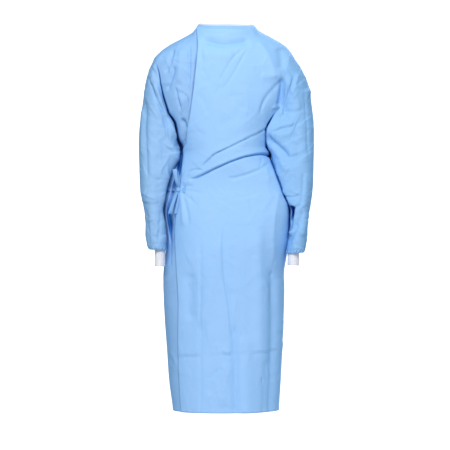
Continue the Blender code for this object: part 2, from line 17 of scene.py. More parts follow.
import bpy
import numpy as np
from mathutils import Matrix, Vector

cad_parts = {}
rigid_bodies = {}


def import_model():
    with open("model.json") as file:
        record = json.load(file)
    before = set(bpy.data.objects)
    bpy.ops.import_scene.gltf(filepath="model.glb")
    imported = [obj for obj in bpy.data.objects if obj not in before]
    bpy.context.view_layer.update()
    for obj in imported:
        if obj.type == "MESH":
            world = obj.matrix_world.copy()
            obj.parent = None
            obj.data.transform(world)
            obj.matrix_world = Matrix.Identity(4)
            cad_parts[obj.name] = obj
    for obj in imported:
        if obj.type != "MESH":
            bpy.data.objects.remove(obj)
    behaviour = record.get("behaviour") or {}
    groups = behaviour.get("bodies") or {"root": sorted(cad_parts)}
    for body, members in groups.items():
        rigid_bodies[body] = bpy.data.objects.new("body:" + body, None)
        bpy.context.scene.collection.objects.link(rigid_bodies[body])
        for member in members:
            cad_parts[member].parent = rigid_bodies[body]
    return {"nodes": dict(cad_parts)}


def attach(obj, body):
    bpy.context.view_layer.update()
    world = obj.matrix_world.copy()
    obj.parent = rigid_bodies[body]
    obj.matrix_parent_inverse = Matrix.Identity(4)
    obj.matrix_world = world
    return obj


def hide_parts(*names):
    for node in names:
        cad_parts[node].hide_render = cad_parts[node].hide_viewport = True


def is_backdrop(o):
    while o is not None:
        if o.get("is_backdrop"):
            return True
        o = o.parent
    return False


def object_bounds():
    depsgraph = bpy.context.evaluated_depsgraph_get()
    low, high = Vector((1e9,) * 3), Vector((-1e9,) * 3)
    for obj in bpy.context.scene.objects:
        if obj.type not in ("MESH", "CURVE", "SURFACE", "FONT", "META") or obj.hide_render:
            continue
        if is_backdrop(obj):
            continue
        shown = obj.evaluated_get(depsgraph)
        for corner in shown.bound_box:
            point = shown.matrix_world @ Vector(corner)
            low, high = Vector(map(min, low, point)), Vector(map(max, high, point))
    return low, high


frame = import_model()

cad_low, cad_high = (list(corner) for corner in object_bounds())
TURN = 2.0 * math.pi
MILLIMETRE = 0.001
print("solids:", len(frame["nodes"]), "box from", cad_low, "to", cad_high)

# %% [markdown]
# ## Smooth curves from short tables
#
# Cloth has no kinks where its maker wrote a number down. A table gives a few sizes at known places,
# and a cubic curve through them gives every place between. The rise from one row to the next
# follows t*t*(3 - 2*t), which starts and ends flat, and the slopes of both rows are added to it.
# The tables are in millimetres, as a maker's are, and the rest is in metres.

# %% Curves
def metres(table, lengths):
    """A table in an array, with its first columns, this many, taken from millimetres to metres."""
    table = np.array(table, dtype=float)
    table[:, :lengths] /= 1000
    return table


def smooth_column(table, column, where):
    """Reads a column of a table against its first: a cubic through the rows, by their slopes."""
    knots, values = table[np.argsort(table[:, 0])][:, [0, column]].T
    slopes = np.gradient(values, knots)
    where = np.clip(where, knots[0], knots[-1])
    low = np.clip(np.searchsorted(knots, where) - 1, 0, len(knots) - 2)
    step = knots[low + 1] - knots[low]
    t = (where - knots[low]) / step
    rise = t * t * (3 - 2 * t)
    return (
        values[low] * (1 - rise)
        + values[low + 1] * rise
        + slopes[low] * step * t * (1 - t) ** 2
        - slopes[low + 1] * step * t * t * (1 - t)
    )


def numbered(rows):
    """Puts a first column of row numbers before a table, to read the table by them."""
    return np.column_stack([np.arange(len(rows)), rows])


def smooth_line(points, count):
    """Points of a smooth curve through the given ones, of any number of coordinates."""
    table = numbered(points)
    where = np.linspace(0.0, len(points) - 1.0, count)
    columns = range(1, table.shape[1])
    return np.stack([smooth_column(table, column, where) for column in columns], axis=-1)


def ease(value, start, end):
    """Goes smoothly from 0 at start to 1 at end."""
    t = np.clip((value - start) / (end - start), 0.0, 1.0)
    return t * t * (3 - 2 * t)


def unit(vectors):
    """The same directions with length 1."""
    return vectors / np.linalg.norm(vectors, axis=-1, keepdims=True)


# %% [markdown]
# ## The body form
#
# Every panel hangs on one body form: a stack of rounded sections, each a superellipse, which is an
# ellipse whose power can be raised above 2 to make it squarer. The table gives how far each section
# reaches to the four sides. Sculpting would work too, but a table keeps the form measurable.

# %% Body sizes
SECTIONS = metres((
    # height, left, right, back, front, middle, then the powers of the left and the right half
    (4, -70, 80, -66, 40, 0, 2, 2),
    (-9, -82, 91, -72, 50, 0, 2, 2),
    (-28, -110, 119, -87, 62, 0, 2, 2),
    (-44, -137, 149, -98, 71, 0, 2, 2),
    (-67, -182, 188, -110, 83, 0, 2, 2),
    (-96, -220, 215, -120, 96, 0, 2.05, 2.05),
    (-135, -247, 239, -127, 108, 0, 2.1, 2.1),
    (-165, -250, 240, -129, 115, 0, 2.15, 2.15),
    (-213, -234, 216, -130, 122, 0, 2.2, 2.2),
    (-270, -212, 192, -130, 126, 2, 2.2, 2.2),
    (-313, -188, 166, -129, 127, 5, 2.2, 2.2),
    (-363, -168, 148, -127, 126, 10, 2.2, 2.2),
    (-418, -152, 144, -124, 124, 20, 2.2, 2.2),
    (-457, -176, 172, -119, 120, 44, 2.25, 2.4),
    (-490, -190, 192, -113, 118, 55, 2.35, 3.2),
    (-528, -199, 206, -112, 118, 58, 2.35, 3.6),
    (-571, -207, 216, -119, 124, 57, 2.4, 3.7),
    (-610, -208, 219, -127, 131, 55, 2.4, 3.6),
    (-660, -198, 214, -135, 140, 48, 2.4, 3.2),
    (-717, -196, 205, -141, 148, 39, 2.35, 2.8),
    (-757, -199, 197, -143, 152, 34, 2.35, 2.5),
    (-798, -203, 190, -144, 155, 31, 2.35, 2.45),
    (-863, -203, 190, -144, 157, 27, 2.4, 2.4),
    (-961, -199, 187, -144, 158, 22, 2.4, 2.4),
    (-1058, -192, 183, -144, 159, 18, 2.4, 2.4),
    (-1156, -185, 178, -144, 160, 14, 2.4, 2.4),
    (-1252, -172, 172, -143, 160, 12, 2.4, 2.4),
), 6)
OVER_EDGE = metres((
    # height, across: the over panel's free edge
    (4, -74), (-16, -84), (-90, -90), (-210, -102), (-330, -119), (-400, -133), (-500, -143),
    (-537, -146), (-600, -155), (-665, -162), (-740, -161), (-863, -153), (-1060, -151),
    (-1190, -146), (-1252, -141),
), 2)
CLOTH = 0.0005  # thickness of the cloth
SEAM_GAP = 0.00075  # between two sewn pieces
NECK_HEIGHT = -0.0125  # of the neckline's cut edge at the sides of the neck
NECK_BACK_DROP = 0.007
NECK_FRONT_DROP = 0.040
LAP_LIFT = 0.0042  # the over panel's clearance from the under panel
UNDER_DROP = 0.0060  # how far the under panel sinks where it is covered
UNDER_EDGE = -0.012  # across: where the under panel ends, out of sight
OVER_LIFTED = (1.85 * math.pi, 1.45 * math.pi)  # angles between which the over panel lifts off
UNDER_SET_BACK = (1.12 * math.pi, 1.26 * math.pi)  # angles between which the under panel sinks


def section(height):
    """The sizes of the body form's section at each height, one array for each column."""
    return [smooth_column(SECTIONS, column, height) for column in range(1, SECTIONS.shape[1])]


def body_form(angle, height):
    """A superellipse at each height, |x/a|^n + |y/b|^n = 1, with a and b by the side faced."""
    cosine, sine = np.cos(angle), np.sin(angle)
    left, right, back, front, middle, left_square, right_square = section(height)
    reach_x = np.where(cosine > 0, right, -left)
    square = np.where(cosine > 0, right_square, left_square)
    reach_y = np.where(sine > 0, front - middle, middle - back)
    share = (np.abs(cosine) / reach_x) ** square + (np.abs(sine) / reach_y) ** square
    radius = share ** (-1 / square)
    return np.stack([radius * cosine, middle + radius * sine, height + 0 * angle], axis=-1)


def outward(angle, height):
    """The form's unit normal: the cross product of its slopes round and up."""
    small = 1e-3
    around = body_form(angle + small, height) - body_form(angle - small, height)
    up = body_form(angle, height + small) - body_form(angle, height - small)
    return unit(np.cross(around, up))


def angle_across(across, height):
    """The angle at which the form's back is this far across: the superellipse solved for y."""
    left, right, back, _, middle, left_square, right_square = section(height)
    reach = np.where(across > 0, right, -left)
    square = np.where(across > 0, right_square, left_square)
    share = np.clip(np.abs(across) / reach, 0.0, 0.999)
    depth = (middle - back) * (1 - share**square) ** (1 / square)
    return np.arctan2(-depth, across) % TURN


def neck_line(angle):
    """Height of the neckline's cut edge: highest at the sides of the neck."""
    front = NECK_FRONT_DROP * ease(np.sin(angle), 0.0, 1.0)
    back = NECK_BACK_DROP * ease(-np.sin(angle), 0.0, 1.0)
    return NECK_HEIGHT - front - back


print("body form: widest", SECTIONS[7, 2] - SECTIONS[7, 1], "m at the shoulders")

# %% [markdown]
# ## Creases
#
# Non-woven cloth is stiff and creases like paper: long soft troughs where it is pulled, and sharp
# straight lines where it was folded in its packet. A crease is a smooth line across the cloth, as
# seen from behind (or from the front for the front's own), with a depth and a half width. A place
# on the cloth moves by depth * exp(-(distance / width)^2), or by the pointed exp(-1.4 |distance| /
# width) for a pressed fold. A lip raises the cloth on one side by a steep step that dies out away
# from it, where the slack hangs over a tuck. A negative depth makes a ridge.
#
# Sculpt mode or a simulation could give such folds. Listed lines put each one in its place.

# %% The creases of the back
BACK_CREASES = (
    # depth, half width, pointed share, lip, then the line's points (across, height)
    # Neck and upper back.
    (9, 10, 0.3, 1.5, (-83, -64), (-49, -68), (-27, -73.5), (-5, -76.6), (26, -72), (52, -67),
     (80, -60)),
    (-13, 20, 0, 0, (-110, -20), (-60, -34), (0, -36), (60, -32), (110, -18)),
    (3, 3, 0.4, 1.2, (-72, -44), (-35, -45.5), (6, -45)),
    (2.4, 3, 0.3, 0.8, (-70, -27), (-20, -29), (40, -28), (75, -33)),
    (1.6, 5, 0.3, 0.4, (10, -50), (40, -48), (85, -44)),
    (-4, 18, 0, 0, (-78, -112), (-30, -108), (30, -112)),
    (2.6, 4, 0.4, 0.8, (86, -69), (66, -83), (48, -94.5), (21.5, -120.8), (4, -149), (-13.6, -180),
     (-22, -194)),
    (2.6, 4.5, 0.4, 0.8, (88, -80), (68, -96), (49, -123), (33, -155), (12.7, -189), (-5, -211),
     (-20, -222)),
    (1.6, 4, 0.4, 0, (-34, -240), (-26, -220), (-16, -206)),
    (1.5, 3.5, 0.4, 0.3, (12, -238), (40, -240.5), (66, -238)),
    (1.8, 7, 0.3, 0.9, (-78, -150), (-60, -176), (-52, -205)),
    (-1.8, 10, 0.2, 0, (-40, -128), (-58, -150), (-70, -190)),
    (1.6, 8, 0.3, 0.8, (-88, -232), (-66, -262), (-56, -300)),
    (-5, 16, 0.5, 0, (100, -58), (124, -92), (140, -123), (152, -158), (156, -185)),
    (6, 15, 0.1, 0, (172, -80), (180, -118), (178, -155)),
    (-3, 12, 0.2, 0, (110, -175), (145, -178), (180, -170)),
    (5, 6, 0.4, 2.4, (108, -302), (111, -281), (120, -257), (135.5, -233), (157.5, -208.5),
     (173, -192), (186, -179)),
    (9, 9, 0.1, 0, (182, -180), (181, -215), (177, -245), (170, -276)),
    (-5, 3.5, 0.5, 0, (148, -273.5), (166, -273), (184, -272.5)),
    (1.6, 3, 0.4, 0, (150, -292), (158, -280), (166, -274)),
    (1.4, 14, 0, 0, (60, -270), (20, -310), (-30, -340)),
    (-1.6, 15, 0, 0, (105, -300), (60, -335), (10, -352)),
    # The folds that the tie pulls across the waist.
    (8, 3, 0.6, 5, (-83, -479), (-68.3, -457.3), (-52.3, -441.3), (-34, -425.2), (-6.4, -411.5),
     (21, -398.6), (53, -382), (76, -370), (99, -358.7), (122, -345), (140, -331)),
    (13, 3.8, 0.4, 8.5, (-118, -507), (-102.7, -503.2), (-79.8, -494), (-56.9, -482.6),
     (-34, -471.1), (-11, -461), (7.3, -452.7), (34.9, -442.2), (57.8, -434.4), (85.3, -428.4),
     (103.7, -425.2), (126.6, -424.3), (145, -432), (158, -446)),
    (4.4, 5, 0.3, 1.6, (0, -500.9), (25.7, -500.9), (53.2, -494), (80.7, -484.9), (103.7, -475.7),
     (122, -464.2), (138, -446)),
    (3.4, 3.2, 0.5, 1.2, (-131, -502), (-125.7, -494), (-118.8, -482.6), (-102.7, -475.7),
     (-82.1, -474.3), (-70, -480)),
    (1.6, 3, 0.4, 0, (104, -470), (112, -452), (113, -436)),
    (-1.8, 6, 0.5, 0, (128, -462), (131, -490), (137, -520)),
    (-4.2, 7, 0.4, 0, (-144, -547), (-138, -575), (-136, -610), (-132, -660)),
    (4.2, 4.5, 0.4, 1, (-139.4, -549), (-130, -579), (-121, -615.6), (-117, -655)),
    (2.6, 3.6, 0.4, 0.6, (-135, -547), (-124, -560), (-110, -571), (-94, -590)),
    (3.2, 4, 0.4, 0.6, (-138, -531), (-122, -527), (-104, -526)),
    (-2.6, 5, 0.4, 0, (-136, -519), (-122, -512), (-110, -510)),
    (1.6, 5, 0.4, 0.4, (-137, -541), (-110, -543), (-70, -553)),
    (-1.4, 8, 0.2, 0, (152, -550), (135, -580), (108, -616)),
    # Folds pressed into the skirt in its packet.
    (4.8, 5, 1, 3.1, (-80, -1290), (-81, -1003), (-81, -850), (-81, -690)),
    (5.4, 5, 0.8, 4.4, (20, -1030), (12.8, -963), (8, -915), (1, -867), (-8, -812), (-10.5, -755),
     (-11, -700), (-10, -640)),
    (-5.4, 22, 0.3, 0, (-18, -690), (-45, -830), (-85, -985)),
    (8, 12, 0.3, 0, (24, -960), (28, -1100), (30, -1290)),
    (-4.8, 22, 0, 0, (66, -1000), (66, -1120), (64, -1290)),
    (-5.1, 19, 0, 0, (104, -640), (105, -860), (106, -1110)),
    (-4.2, 13, 0.6, 0, (170, -545), (165.5, -562.5), (153, -640), (150.5, -700), (150.5, -800)),
    (3.2, 4, 0.5, 0, (150, -805), (142, -819)),
    (9.6, 15, 0.2, 0, (147, -770), (150, -950), (147, -1120), (142, -1300)),
    (4.8, 13, 0.2, 0, (130, -1080), (124, -1160), (120, -1280)),
    (5.1, 4.5, 1, 4.1, (-156, -1074), (-112, -1070), (-76, -1067)),
    (5.1, 4.5, 1, 4.1, (78, -1060), (121, -1058), (172, -1054)),
    (2.2, 4.5, 1, 1.4, (-78, -1067), (-30, -1066), (85, -1058)),
    (-3.2, 4, 0.6, 2.4, (-14, -1050), (0, -1056), (12, -1062)),
    (1.3, 4, 0.6, 0, (-5, -1062), (22, -1071)),
    (2.2, 4, 1, 1, (-10, -655), (38, -657), (90, -654)),
    (2.2, 4, 0.8, 0, (77, -747), (96, -747)),
    (5.4, 18, 0, 0, (-112, -800), (-116, -880), (-112, -960)),
    (-4.5, 14, 0.6, 0, (3, -1089), (-3, -1160), (-10, -1236)),
    (4.2, 6, 0.5, 2.4, (-12, -1108), (-34, -1124), (-56, -1146)),
    (2.9, 4, 0.5, 0, (117, -1137), (117, -1159)),
    # The under panel, from the shoulder to the tie.
    (5.5, 5, 0.3, 0, (-119, -70), (-118, -145), (-120, -202)),
    (-5, 10, 0.2, 0, (-146, -80), (-148, -140), (-152, -200)),
    (7.5, 6, 0.3, 2.5, (-168, -85), (-174, -115), (-180, -138), (-195, -166)),
    (7.5, 6, 0.3, 2.5, (-164, -140), (-170, -170), (-178, -195), (-188, -220)),
    (6.5, 3.2, 0.5, 2.4, (-160.5, -212), (-154.5, -247), (-144.6, -286)),
    (3.4, 2.6, 0.5, 2, (-163, -219), (-141, -229), (-120, -245)),
    (6.5, 3.2, 0.5, 2.4, (-122, -243), (-125.5, -267), (-137, -289), (-152, -309)),
    (-3, 8, 0.1, 0, (-149, -236), (-137, -266)),
    (10, 7, 0.1, 0, (-142, -310), (-133, -345), (-136, -402)),
    (3.4, 4.5, 0.6, 0.8, (-178, -690), (-179, -735), (-180, -790)),
    (-2.4, 6, 0.5, 0, (-177, -795), (-195, -835)),
    (2.2, 4.5, 1, 0.8, (-189, -872), (-154, -872)),
    (-2.4, 6, 0.5, 0, (-180, -1060), (-153, -1107)),
    (2.6, 6, 0.2, 0, (-186, -1068), (-172, -1100)),
)
print("creases drawn on the back:", len(BACK_CREASES))

# %% [markdown]
# ## Places beside a line
#
# For each place on the cloth, a crease needs to know how far the place is from its line, and how
# far along the line. Both come from the nearest straight bit, for all places at once. Blender's own
# nearest point search would do it one by one; arrays do it in one go, and the places that are far
# away are left out first.

# %% Lines
LINE_STEPS = 8  # straight bits between two points of a crease


def dense_line(points):
    """The smooth line of a crease or groove, in short straight bits."""
    return smooth_line(points, LINE_STEPS * (len(points) - 1) + 1)


def beside_line(across, height, line):
    """The distance of each place from a line, plus on its left as drawn, and its share along."""
    begin, step = line[:-1], np.diff(line, axis=0)
    away = np.stack([across, height], axis=-1)[:, None, :] - begin[None]
    share = np.clip((away * step).sum(-1) / (step * step).sum(-1), 0.0, 1.0)
    gap = away - share[..., None] * step
    distance = np.linalg.norm(gap, axis=-1)
    nearest = distance.argmin(axis=1)
    pick = np.arange(len(across))
    side = step[nearest, 0] * gap[pick, nearest, 1] - step[nearest, 1] * gap[pick, nearest, 0]
    along = (nearest + share[pick, nearest]) / len(step)
    return distance[pick, nearest] * np.where(side < 0, -1.0, 1.0), along


def near_line(across, height, line, reach):
    """Marks the places within reach of a line's box."""
    low, high = line.min(axis=0) - reach, line.max(axis=0) + reach
    return (across > low[0]) & (across < high[0]) & (height > low[1]) & (height < high[1])


most_bent = dense_line(np.array(max(BACK_CREASES, key=len)[4:]) * MILLIMETRE)
print("straight bits of the crease with the most points:", len(most_bent) - 1)

# %% [markdown]
# ## From lines to a relief
#
# The relief is what moves the cloth. Next to it, the paint needs to know how deep each trough
# looks, for a painted blue shade, because a shader can't tell where cloth faces cloth. A bump
# texture could fake both, but only real troughs are seen from the side.

# %% Relief and depth of creases
CREASE_FADE = 0.14  # share of its line over which a crease fades in, and out again
POINT_FALL = 1.4  # how fast a pressed fold's point falls off
LIP_RISE, LIP_FALL = 0.22, 2.5  # half widths over which a lip rises and dies out
SHADE_WIDTH = 0.8  # half widths over which a trough gets painted shade
LIP_SHADE_SHARE = 0.5  # the share of a lip that adds to its trough's painted shade
CREASE_SHADE_SHARE = 0.50  # the share of a crease's depth that deepens the painted blue shade


def each_crease(across, height, creases, reach):
    """Gives, for each crease, the places near it, how many half widths they are off, and its sizes.

    Near is within so many half widths of the line's box. Each crease fades in and out over a
    seventh of its line at both ends.
    """
    for depth, width, pointed, lip, *points in creases:
        line = dense_line(np.array(points) * MILLIMETRE)
        near = near_line(across, height, line, reach * width * MILLIMETRE)
        if near.any():
            aside, along = beside_line(across[near], height[near], line)
            fade = ease(along, 0.0, CREASE_FADE) * ease(along, 1.0, 1.0 - CREASE_FADE)
            yield near, aside / (width * MILLIMETRE), fade * MILLIMETRE, depth, pointed, lip


def crease_relief(across, height, creases):
    """The sum of all creases: troughs, soft or pointed, and the lips beside them."""
    relief = np.zeros(across.shape)
    for near, off, fade, depth, pointed, lip in each_crease(across, height, creases, reach=5):
        trough = (1 - pointed) * np.exp(-(off**2)) + pointed * np.exp(-POINT_FALL * np.abs(off))
        overhang = np.exp(-np.maximum(off, 0.0) / LIP_FALL) / (1 + np.exp(-off / LIP_RISE))
        relief[near] += (lip * overhang - depth * trough) * fade
    return relief


def crease_shade_depth(across, height, creases):
    """Troughs' painted shade: the deepest of (depth + lip share) * exp(-(distance/width)^2)."""
    deep = np.zeros(across.shape)
    for near, off, fade, depth, _, lip in each_crease(across, height, creases, reach=2):
        if depth > 0:
            trough = (depth + LIP_SHADE_SHARE * lip) * np.exp(-((off / SHADE_WIDTH) ** 2)) * fade
            deep[near] = np.maximum(deep[near], trough)
    return deep


deepest = max(BACK_CREASES, key=lambda crease: crease[0])
print("deepest crease of the back:", deepest[0], "mm, from", deepest[4])

# %% [markdown]
# ## Small crumples and slow waves
#
# Between its named folds the cloth is never quite smooth. It has faint short creases in all
# directions and small tucks, a steep step on one side that sinks back on the other. Both are random
# lines from a seeded generator: the crumples are about a millimetre deep and the highest tucks two
# to three. Slow waves, which are a few sines added up, lie under them. All are seen in the shading,
# hardly in the outline.

# %% Crumples
# the most that a line is turned, then its lengths and its widths
CRUMPLE_LINES = (math.pi, (0.008, 0.034), (0.004, 0.008))
TUCK_LINES = (TURN, (0.012, 0.045), (0.006, 0.020))
CRUMPLE_DEPTH = 0.00075  # the spread of the crumples' depths, which go in or out
TUCK_SHARES = (0.3, 1.0)  # of the highest tuck
TUCK_STEP = 0.0009  # how steeply a tuck rises
BODY_BOX = ((-0.25, 0.25), (-1.25, 0.0))
UNDER_BOX = ((-0.24, -0.10), (-0.42, -0.04))
BODY_WEAR = (420, 220, 2.2)  # how many crumples and tucks, and the highest tuck in millimetres
SLEEVE_WEAR = (150, 110, 3.2)
UNDER_TUCKS = (46, 3.4)  # tucks only, where the under panel shows


def short_lines(across, height, random, count, box, turns, lengths, widths):
    """Gives, for each random short line, places along and aside of it, its length and width."""
    for _ in range(count):
        middle_x, middle_z = (random.uniform(*ends) for ends in box)
        turn = random.uniform(0.0, turns)
        length, width = random.uniform(*lengths), random.uniform(*widths)
        x, z = across - middle_x, height - middle_z
        along = x * math.cos(turn) + z * math.sin(turn)
        yield along, z * math.cos(turn) - x * math.sin(turn), length, width


def crumple_relief(across, height, seed, count, box):
    """Random short creases: each is -depth * exp(-1.4 |aside| / width - (along / length)^2)."""
    random = np.random.default_rng(seed)
    relief = np.zeros(across.shape)
    lines = short_lines(across, height, random, count, box, *CRUMPLE_LINES)
    for along, aside, length, width in lines:
        depth = random.normal(0.0, CRUMPLE_DEPTH)
        relief -= depth * np.exp(-POINT_FALL * np.abs(aside) / width - (along / length) ** 2)
    return relief


def tuck_relief(across, height, seed, count, highest, box):
    """Random tucks: a steep rise on one side that sinks back over a centimetre or two."""
    random = np.random.default_rng(seed)
    relief = np.zeros(across.shape)
    lines = short_lines(across, height, random, count, box, *TUCK_LINES)
    for along, aside, length, fall in lines:
        rise = random.uniform(*TUCK_SHARES) * highest * MILLIMETRE
        step = 1 + np.exp(-np.clip(aside / TUCK_STEP, -30.0, 30.0))
        relief += rise * np.exp(-np.maximum(aside, 0.0) / fall - (along / length) ** 2) / step
    return relief


def wear_relief(across, height, seeds, wear, box):
    """Crumples and tucks together, each with its own seed."""
    crumples, tucks, highest = wear
    relief = crumple_relief(across, height, seeds[0], crumples, box)
    return relief + tuck_relief(across, height, seeds[1], tucks, highest, box)


print("crumples and tucks on each side of the body:", BODY_WEAR[:2])

# %% Waves
WAVES = 5
WAVE_LENGTHS = (0.08, 0.30)
WAVE_HEIGHT = 0.0005
WAVE_STRETCH = 0.5  # waves are longer down the cloth than across


def slow_waves(across, height, seed):
    """A few sines in random directions, 8 to 30 cm long, each up to half a millimetre high."""
    random = np.random.default_rng(seed)
    relief = np.zeros(across.shape)
    for _ in range(WAVES):
        turn, start = random.uniform(0.0, math.pi), random.uniform(0.0, TURN)
        length = random.uniform(*WAVE_LENGTHS)
        along = across * math.cos(turn) + height * math.sin(turn) * WAVE_STRETCH
        relief += WAVE_HEIGHT * np.sin(TURN * along / length + start)
    return relief


print("slow waves:", WAVES, "up to", WAVES * WAVE_HEIGHT / MILLIMETRE, "mm together")

# %% [markdown]
# ## The front and the sides
#
# Nothing is tied at the front, so the cloth hangs in soft vertical folds from the chest, with a few
# pulls towards the armpits and towards the waist tie. They follow the same rules as the back's.

# %% The creases of the front
FRONT_CREASES = (
    # depth, half width, pointed share, lip, then the line's points (across, height)
    (3, 9, 0.2, 0, (-150, -240), (-110, -215), (-60, -205)),
    (2.6, 10, 0.2, 0, (150, -235), (105, -220), (55, -225)),
    (3.2, 8, 0.3, 0.6, (-140, -330), (-95, -300), (-50, -292)),
    (2.8, 8, 0.3, 0.6, (135, -330), (100, -305), (45, -310)),
    (2.8, 11, 0, 0, (-60, -75), (0, -100), (60, -78)),
    (5, 7, 0.3, 1.6, (-165, -515), (-120, -495), (-60, -480), (20, -478)),
    (3.6, 8, 0.3, 0, (-160, -545), (-110, -560), (-60, -590)),
    (3.4, 9, 0.3, 0, (-155, -560), (-120, -610), (-100, -680)),
    (3.4, 8, 0.3, 0.8, (165, -440), (120, -455), (70, -480)),
    (1.2, 7, 1, 0, (0, -110), (1, -640), (0, -1250)),
    (1.3, 7, 1, 0, (-93, -560), (-94, -900), (-93, -1250)),
    (1.3, 7, 1, 0, (94, -540), (95, -900), (94, -1250)),
    (1, 5, 1, 0, (-170, -760), (0, -762), (170, -758)),
    (1, 5, 1, 0, (-165, -1010), (0, -1008), (165, -1012)),
    (-3, 18, 0.2, 0, (60, -640), (48, -860), (52, -1120)),
    (3, 15, 0.2, 0, (-52, -680), (-40, -900), (-46, -1180)),
)
print("creases drawn on the front:", len(FRONT_CREASES))

# %% [markdown]
# ## All that moves the body's cloth
#
# The skirt hangs in folds that grow down from the waist, and its hem is turned up and sewn, so a
# band of double cloth stands off a little. These, the creases, the wear and the waves are added up
# to one relief, where the back's and the front's parts each fade out towards the sides.

# %% Hanging folds, hem and relief
HANGING_FOLDS = (
    # angle, start, depth, width: soft vertical folds of the front and sides
    (0.35, -0.600, 0.006, 0.10),
    (0.62, -0.700, -0.005, 0.12),
    (0.95, -0.580, 0.006, 0.11),
    (1.35, -0.660, -0.004, 0.14),
    (1.72, -0.600, 0.005, 0.12),
    (2.10, -0.680, -0.005, 0.12),
    (2.45, -0.560, 0.007, 0.11),
    (2.80, -0.640, -0.004, 0.09),
)
FOLD_GROWTH = 0.25  # metres down which a hanging fold grows to its full depth
HEM = -1.252
HEM_DEPTH = 0.012  # the turned hem's band
HEM_RISE, HEM_STEP = 0.0006, 0.0015  # how far the band stands off, and over what height
SIDE_BLEND = 0.25  # sine of the angle by which the back's or the front's creases are all there
UNDER_BLEND = 0.012  # metres beside the over panel's edge in which the under panel's tucks begin
BODY_SEEDS = {"back": {"waves": 12, "wear": (11, 13)}, "front": {"waves": 22, "wear": (21, 23)}}
UNDER_SEED = 14


def hanging_relief(angle, height):
    """Vertical folds: each is -depth * exp(-(angle off / width)^2), growing down from its start."""
    relief = 0 * angle
    for fold_angle, start, depth, width in HANGING_FOLDS:
        off = (angle - fold_angle + math.pi) % TURN - math.pi
        growth = ease(height, start, start - FOLD_GROWTH)
        relief = relief - depth * growth * np.exp(-((off / width) ** 2))
    return relief


def side_relief(across, height, creases, seeds):
    """The creases, waves and wear of the back or of the front."""
    relief = crease_relief(across, height, creases) + slow_waves(across, height, seeds["waves"])
    return relief + wear_relief(across, height, seeds["wear"], BODY_WEAR, BODY_BOX)


def body_relief(angle, base):
    """All that moves the body's cloth: both sides' own relief, the hanging folds and the hem."""
    across, height = base[..., 0], base[..., 2]
    back = side_relief(across, height, BACK_CREASES, BODY_SEEDS["back"])
    under = ease(smooth_column(OVER_EDGE, 1, height) - across, 0.0, UNDER_BLEND)
    back += under * tuck_relief(across, height, UNDER_SEED, *UNDER_TUCKS, UNDER_BOX)
    front = side_relief(across, height, FRONT_CREASES, BODY_SEEDS["front"])
    back *= ease(-np.sin(angle), 0.0, SIDE_BLEND)
    front *= ease(np.sin(angle), 0.0, SIDE_BLEND)
    band = HEM + HEM_DEPTH
    hem = HEM_RISE * ease(height, band, band - HEM_STEP)
    return back + front + hanging_relief(angle, height) + hem


print("hanging folds:", len(HANGING_FOLDS), "and a hem of", HEM_DEPTH, "m")

# %% [markdown]
# ## The deep lines under the arms
#
# Where a sleeve leaves the body, the cloth of both folds in and leaves a deep dark line. On both
# sides it is one groove: a line whose points each have a depth and a half width. The groove pushes
# the panel and the sleeve straight away from the viewer by the same amount, so they stay joined.
#
# Light bounces between the layers inside such a groove and comes out bluer each time. That shade
# is painted: each piece also keeps how deep its grooves and creases are, and its paint is mixed
# towards a deep blue there.

# %% Grooves
GROOVES = [metres(points, 4) for points in (
    # points: across, height, depth and half width
    (
        (-222.2, -133, 0, 1.4), (-217.8, -151, 8, 1.9), (-213.4, -173, 12, 2.1),
        (-209.2, -200, 14, 2.3), (-204.5, -225, 24, 2.6), (-199.4, -245.3, 36, 3.2),
        (-192.4, -266, 36, 3.3), (-184.1, -289.9, 38, 3.7), (-171.9, -308.4, 42, 4),
        (-164.6, -322.5, 48, 4.4), (-161.7, -338.7, 52, 4.8), (-158.9, -355.3, 52, 5.1),
        (-153.4, -379.6, 52, 5.6), (-145, -400, 52, 6.7), (-142.5, -418, 50, 7.9),
        (-145, -435, 50, 9.2), (-149, -455, 48, 9.2), (-155, -480, 40, 7.9), (-161, -500, 28, 6.2),
        (-168, -520, 20, 5.3), (-174, -545, 16, 5.3), (-180, -570, 14, 5.3), (-186, -595, 18, 6.2),
        (-185.5, -620, 30, 7.9), (-181, -650, 34, 8.4), (-179.5, -675, 22, 6), (-180, -700, 8, 4),
        (-180, -720, 0, 3),
    ),
    (
        (160, -290, 0, 1.6), (150, -303, 11.2, 2.3), (139, -321.5, 32, 3), (130, -337, 34, 3.3),
        (127, -353, 16.8, 3.1), (127, -370, 14, 3.1), (127.5, -386, 15.4, 3.3),
        (131, -401, 32, 4.8), (139, -416, 34, 5.3), (144, -430, 36, 5.7), (153, -462, 30, 4.3),
        (165, -497.5, 30, 4.1), (175, -522.5, 30, 3.8), (185, -552.5, 30, 3.8),
        (195, -573, 30, 4.1), (202, -590, 30, 4.5), (207, -610, 37, 7), (206, -640, 34, 6.2),
        (202, -680, 15, 4.4), (200, -700, 0, 3.5),
    ),
)]
print("deepest groove:", max(points[:, 2].max() for points in GROOVES), "m")

# %% Groove depth
PANEL_SHARE, SLEEVE_SHARE = 0.75, 0.65  # of the half width that a panel's and a sleeve's wall takes
GROOVE_REACH = 0.035  # metres from the line's box in which a groove is worked out
GROOVE_POWER = 2.2  # above 2, a flatter bottom and steeper walls
GROOVE_SIDES = (0.05, 0.30)  # sines of the angle between which a groove fades in
FRONT_SHARE = 0.6  # of the groove, for the front, which comes towards the viewer


